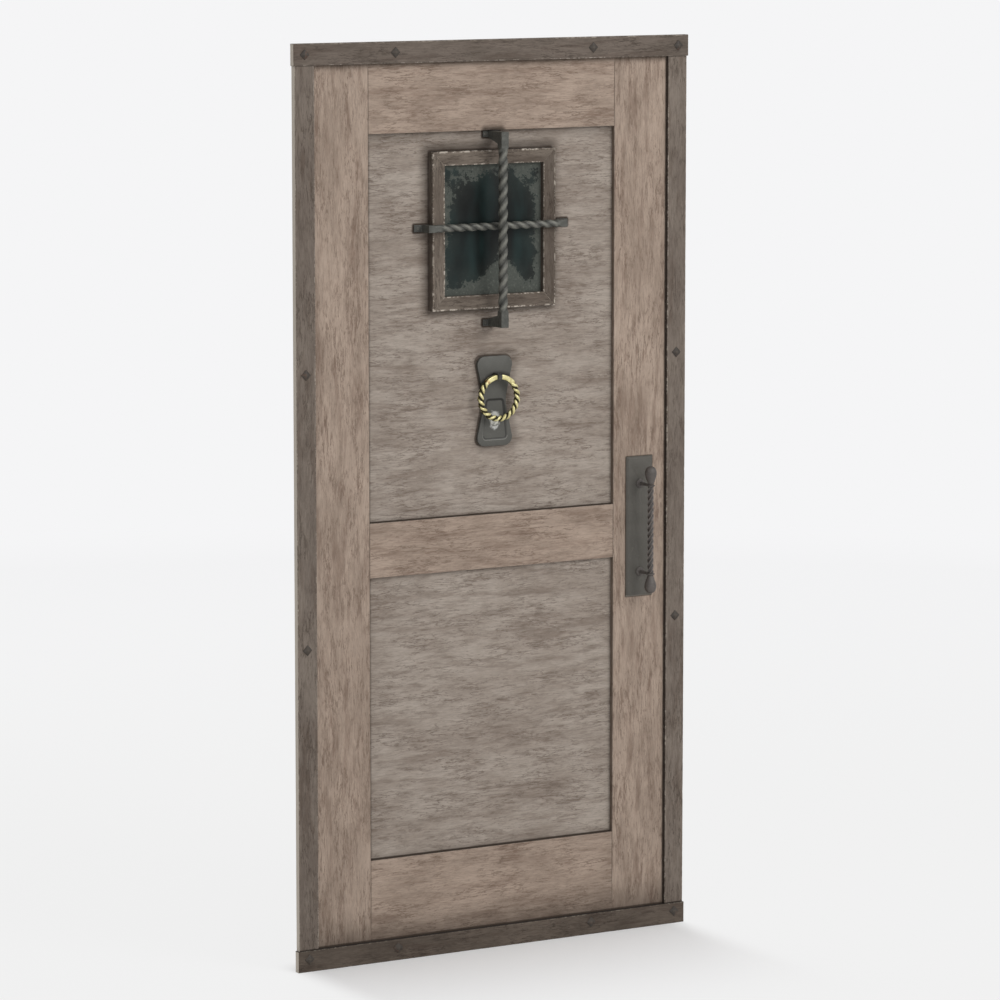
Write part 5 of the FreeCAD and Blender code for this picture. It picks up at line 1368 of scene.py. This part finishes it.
def rounded_loop(corners, radii, inset):
    """A closed loop with rounded corners, moved inwards; corners run anticlockwise."""
    moved = []
    for before, here, after in zip(corners[-1:] + corners, corners, corners[1:] + corners[:1]):
        back_way, way = (here - before).normalized(), (after - here).normalized()
        moved.append(line_meeting(here + Vector((-back_way.y, back_way.x)) * inset, back_way,
                                  here + Vector((-way.y, way.x)) * inset, way))
    loop = []
    for before, here, after, corner in zip(moved[-1:] + moved, moved, moved[1:] + moved[:1],
                                           radii):
        back_way, way = (before - here).normalized(), (after - here).normalized()
        turn = back_way.angle(way)
        convex = (here - before).cross(after - here) > 0
        radius = max(corner - inset if convex else corner + inset, 0.05 * MM)
        middle = here + (back_way + way).normalized() * radius / math.sin(turn / 2)
        start = here + back_way * radius / math.tan(turn / 2) - middle
        sweep = math.pi - turn if convex else turn - math.pi
        for step in range(LOOP_STEPS):
            angle = sweep * step / (LOOP_STEPS - 1)
            loop.append(middle + Matrix.Rotation(angle, 2) @ start)
    return loop


def tail_loop(node):
    """The round hole for the tail of a lug or stud."""
    middle = middle_of(node)
    return [Vector(polar(TAIL_RADIUS, 2 * math.pi * step / CIRCLE_STEPS, 0.0)).xy + middle.xz
            for step in range(CIRCLE_STEPS)]


class PlateMesh:
    """Closed loops across a plate at different depths, joined by walls and flat faces."""

    def __init__(self):
        self.work = bmesh.new()
        self.grime_and_shade = self.work.verts.layers.float.new("grime_and_shade")
        self.lightened = self.work.verts.layers.float.new("ridge")

    def ring(self, loop, depth):
        points = [self.work.verts.new((place.x, depth, place.y)) for place in loop]
        return points, [self.work.edges.new(pair)
                        for pair in zip(points, points[1:] + points[:1])]

    def wall(self, one, two):
        count = len(one[0])
        for index in range(count):
            following = (index + 1) % count
            self.work.faces.new((one[0][index], one[0][following], two[0][following],
                                 two[0][index]))

    def fill(self, *rings):
        bmesh.ops.triangle_fill(self.work, use_beauty=True,
                                edges=[edge for made in rings for edge in made[1]])

    def finish(self, name):
        bmesh.ops.recalc_face_normals(self.work, faces=self.work.faces)
        mesh = bpy.data.meshes.new(name)
        self.work.to_mesh(mesh)
        self.work.free()
        smoothed(mesh, 24)
        return linked(name, mesh)


def make_knocker_plate():
    """An hourglass plate with an eased rim and a sunk field between sloping walls, with painted
    highlights on the bottom and left walls and painted shade on the top and right ones.
    """
    low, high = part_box("knocker_plate")
    middle_x, middle_z = (low.x + high.x) / 2, (low.z + high.z) / 2
    left, right = middle_x - KNOCKER_WIDE / 2, middle_x + KNOCKER_WIDE / 2
    waist = KNOCKER_WAIST / 2
    outline = [Vector(place) for place in (
        (left, low.z), (right, low.z), (middle_x + waist, middle_z), (right, high.z),
        (left, high.z), (middle_x - waist, middle_z))]
    radii = [KNOCKER_CORNER, KNOCKER_CORNER, KNOCKER_WAIST_ROUND] * 2
    field_low = low.z + RECESS_ABOVE_END
    field_high = field_low + RECESS_LONG
    foot_half, head_half = (wide / 2 for wide in RECESS_WIDE)
    field = [Vector(place) for place in (
        (middle_x - foot_half, field_low), (middle_x + foot_half, field_low),
        (middle_x + head_half, field_high), (middle_x - head_half, field_high))]
    floor = low.y + RECESS_DEEP
    plate = PlateMesh()

    def outer(inset, depth):
        return plate.ring(rounded_loop(outline, radii, inset), depth)

    def inner(inset, depth):
        return plate.ring(rounded_loop(field, [RECESS_CORNER] * 4, inset), depth)

    def tint(made, layer, top, bottom, left_side, right_side):
        """Sets a layer round a loop of the field, by the side that each point is on."""
        for point in made[0]:
            if point.co.z > field_high - RECESS_CORNER:
                point[layer] = top
            elif point.co.z < field_low + RECESS_CORNER:
                point[layer] = bottom
            else:
                point[layer] = left_side if point.co.x < middle_x else right_side

    back = outer(0.0, high.y)
    side = outer(0.0, low.y + KNOCKER_RIM)
    shoulder = outer(KNOCKER_RIM * 0.3, low.y + KNOCKER_RIM * 0.3)
    rim = outer(KNOCKER_RIM, low.y)
    lip = inner(-RECESS_SLOPE / 2 - RECESS_SHADE_BAND, low.y)
    brow = inner(-RECESS_SLOPE / 2, low.y)
    sink = inner(RECESS_SLOPE / 2, floor)
    bed = inner(RECESS_SLOPE / 2 + RECESS_SHADE_BAND, floor)
    # Painted light and shade on the field's walls: highlights at the bottom and left, shade at the
    # top and right, and shade along their foot
    tint(brow, plate.lightened, 0.0, 1.0, 0.95, 0.3)
    tint(brow, plate.grime_and_shade, 0.9, 0.0, 0.0, 0.3)
    tint(sink, plate.grime_and_shade, 0.8, 0.85, 0.15, 0.7)
    lug, stud = tail_loop("knocker_lug"), tail_loop("strike_stud")
    lug_front, lug_back = plate.ring(lug, low.y), plate.ring(lug, high.y)
    stud_front, stud_back = plate.ring(stud, floor), plate.ring(stud, high.y)
    for one, two in ((back, side), (side, shoulder), (shoulder, rim), (lip, brow),
                     (brow, sink), (sink, bed), (lug_front, lug_back),
                     (stud_front, stud_back)):
        plate.wall(one, two)
    plate.fill(rim, lip, lug_front)
    plate.fill(bed, stud_front)
    plate.fill(back, lug_back, stud_back)
    piece = plate.finish("forged_knocker_plate")
    dress(piece, "leaf", "knocker_iron", "knocker", "knocker_plate")


def make_pull_plate():
    """The pull plate with crisp eased edges, and a painted highlight along its foot."""
    piece = copy_of("pull_plate", "forged_pull_plate")
    work = dissolved(piece, 0.3)
    work.to_mesh(piece.data)
    work.free()
    modifier = piece.modifiers.new("ease", "BEVEL")
    modifier.limit_method = "ANGLE"
    modifier.angle_limit = math.radians(32)
    modifier.width = 0.5 * MM
    modifier.segments = 2
    applied(piece)
    smoothed(piece.data, 32)
    foot = min(vertex.co.z for vertex in piece.data.vertices)
    work = bmesh.new()
    work.from_mesh(piece.data)
    for height in (PLATE_HIGHLIGHT_BAND, PLATE_HIGHLIGHT_BAND * 1.6):
        bmesh.ops.bisect_plane(work, geom=work.verts[:] + work.edges[:] + work.faces[:],
                               plane_co=(0, 0, foot + height), plane_no=(0, 0, 1))
    # A painted highlight on the band along the plate's foot
    lightened = work.verts.layers.float.new("ridge")
    for vertex in work.verts:
        vertex[lightened] = 1.0 if vertex.co.z < foot + PLATE_HIGHLIGHT_BAND * 1.1 else 0.0
    work.to_mesh(piece.data)
    work.free()
    dress(piece, "leaf", "handle_iron", "handle", "pull_plate")


def make_forgings():
    """The posts, their knobs, the lug and the stud, hammered."""
    for seed, (node, voxel, deep, slot, material) in enumerate((
            ("knocker_lug", 0.7, 0.25, "knocker_iron", "knocker"),
            ("pull_upper_post", 0.7, 0.2, "handle_iron", "grip"),
            ("pull_lower_post", 0.7, 0.2, "handle_iron", "grip"),
            ("pull_upper_finial", 0.7, 0.25, "handle_iron", "grip"),
            ("pull_lower_finial", 0.7, 0.25, "handle_iron", "grip"),
            ("strike_stud", 0.6, 0.35, "worn_steel", "strike")), start=31):
        piece = copy_of(node, "forged_" + node)
        remeshed(piece, voxel * MM)
        hammer(piece, deep * MM, 95, float(seed))
        dress(piece, "leaf", slot, material, node)


PLAIN_NODES = {
    "glass": ("glass_pane",),
    "knocker": ("knocker_ring_pin",),
    "hinge": [f"{level}_hinge_{part}" for level in ("upper", "middle", "lower")
              for part in ("jamb_plate", "door_plate", "pin")],
    "fixing": ("frame_screws", "hinge_jamb_screws", "hinge_door_screws", "bolt_guide_screws",
               "bolt_keep_screws", "through_nuts", "through_washers"),
    "handle": ("grille_screws",),
    "bolt": ("bolt_bar", "bolt_knob", "bolt_inner_guide", "bolt_outer_guide", "bolt_keep"),
}


def dress_cad_nodes():
    for material, nodes in PLAIN_NODES.items():
        for node in nodes:
            slots = cad_nodes[node].data.materials
            slots.clear()
            slots.append(materials[material])


def make_stage():
    """A wide pale floor and soft light from the front left, above and behind."""
    half = FLOOR_HALF
    floor = new_object("floor", [(-half, -half, 0), (half, -half, 0), (half, half, 0),
                                 (-half, half, 0)], [(0, 1, 2, 3)], smooth=False)
    floor.data.materials.append(floor_material("pale_floor", FLOOR_NEAR, BACKDROP))
    world = bpy.data.worlds.new("studio")
    bpy.context.scene.world = world
    world.use_nodes = True
    tree = Tree(world.node_tree)
    lit, seen = (tree.value(0, "ShaderNodeBackground", None, {"Color": color, "Strength": power})
                 for color, power in ((WHITE, SKY_STRENGTH), (BACKDROP, 1.0)))
    tree.add("ShaderNodeOutputWorld", None, {"Surface": tree.blend(tree.in_view(), lit, seen)})
    for name, place, energy, size in LAMPS:
        lamp = bpy.data.lights.new(name, "AREA")
        lamp.energy = energy
        lamp.size = size
        made = linked(name, lamp)
        made.location = place
        made.rotation_euler = (AIM - Vector(place)).to_track_quat("-Z", "Y").to_euler()


def make_camera():
    data = bpy.data.cameras.new("camera")
    data.lens = LENS_MM
    data.sensor_width = SENSOR_MM
    data.clip_end = VIEW_END
    camera = linked("camera", data)
    camera.rotation_euler = Euler((math.pi / 2 - CAMERA_DROP, 0, -CAMERA_TURN))
    ahead = camera.rotation_euler.to_matrix() @ Vector((0, 0, -1))
    camera.location = AIM - ahead * CAMERA_DISTANCE
    bpy.context.scene.camera = camera


make_camera()
make_stage()
bpy.context.scene.view_settings.view_transform = "Standard"
make_side_casing(-1, 8.0)
make_side_casing(1, 9.0)
make_head_casing(10.0)
make_foot_casing(20.0)
make_stiles()
make_rails()
make_panels()
make_window_woodwork()
make_jambs()
make_nails()
make_grille()
make_pull_bar()
make_ring()
make_knocker_plate()
make_pull_plate()
make_forgings()
dress_cad_nodes()
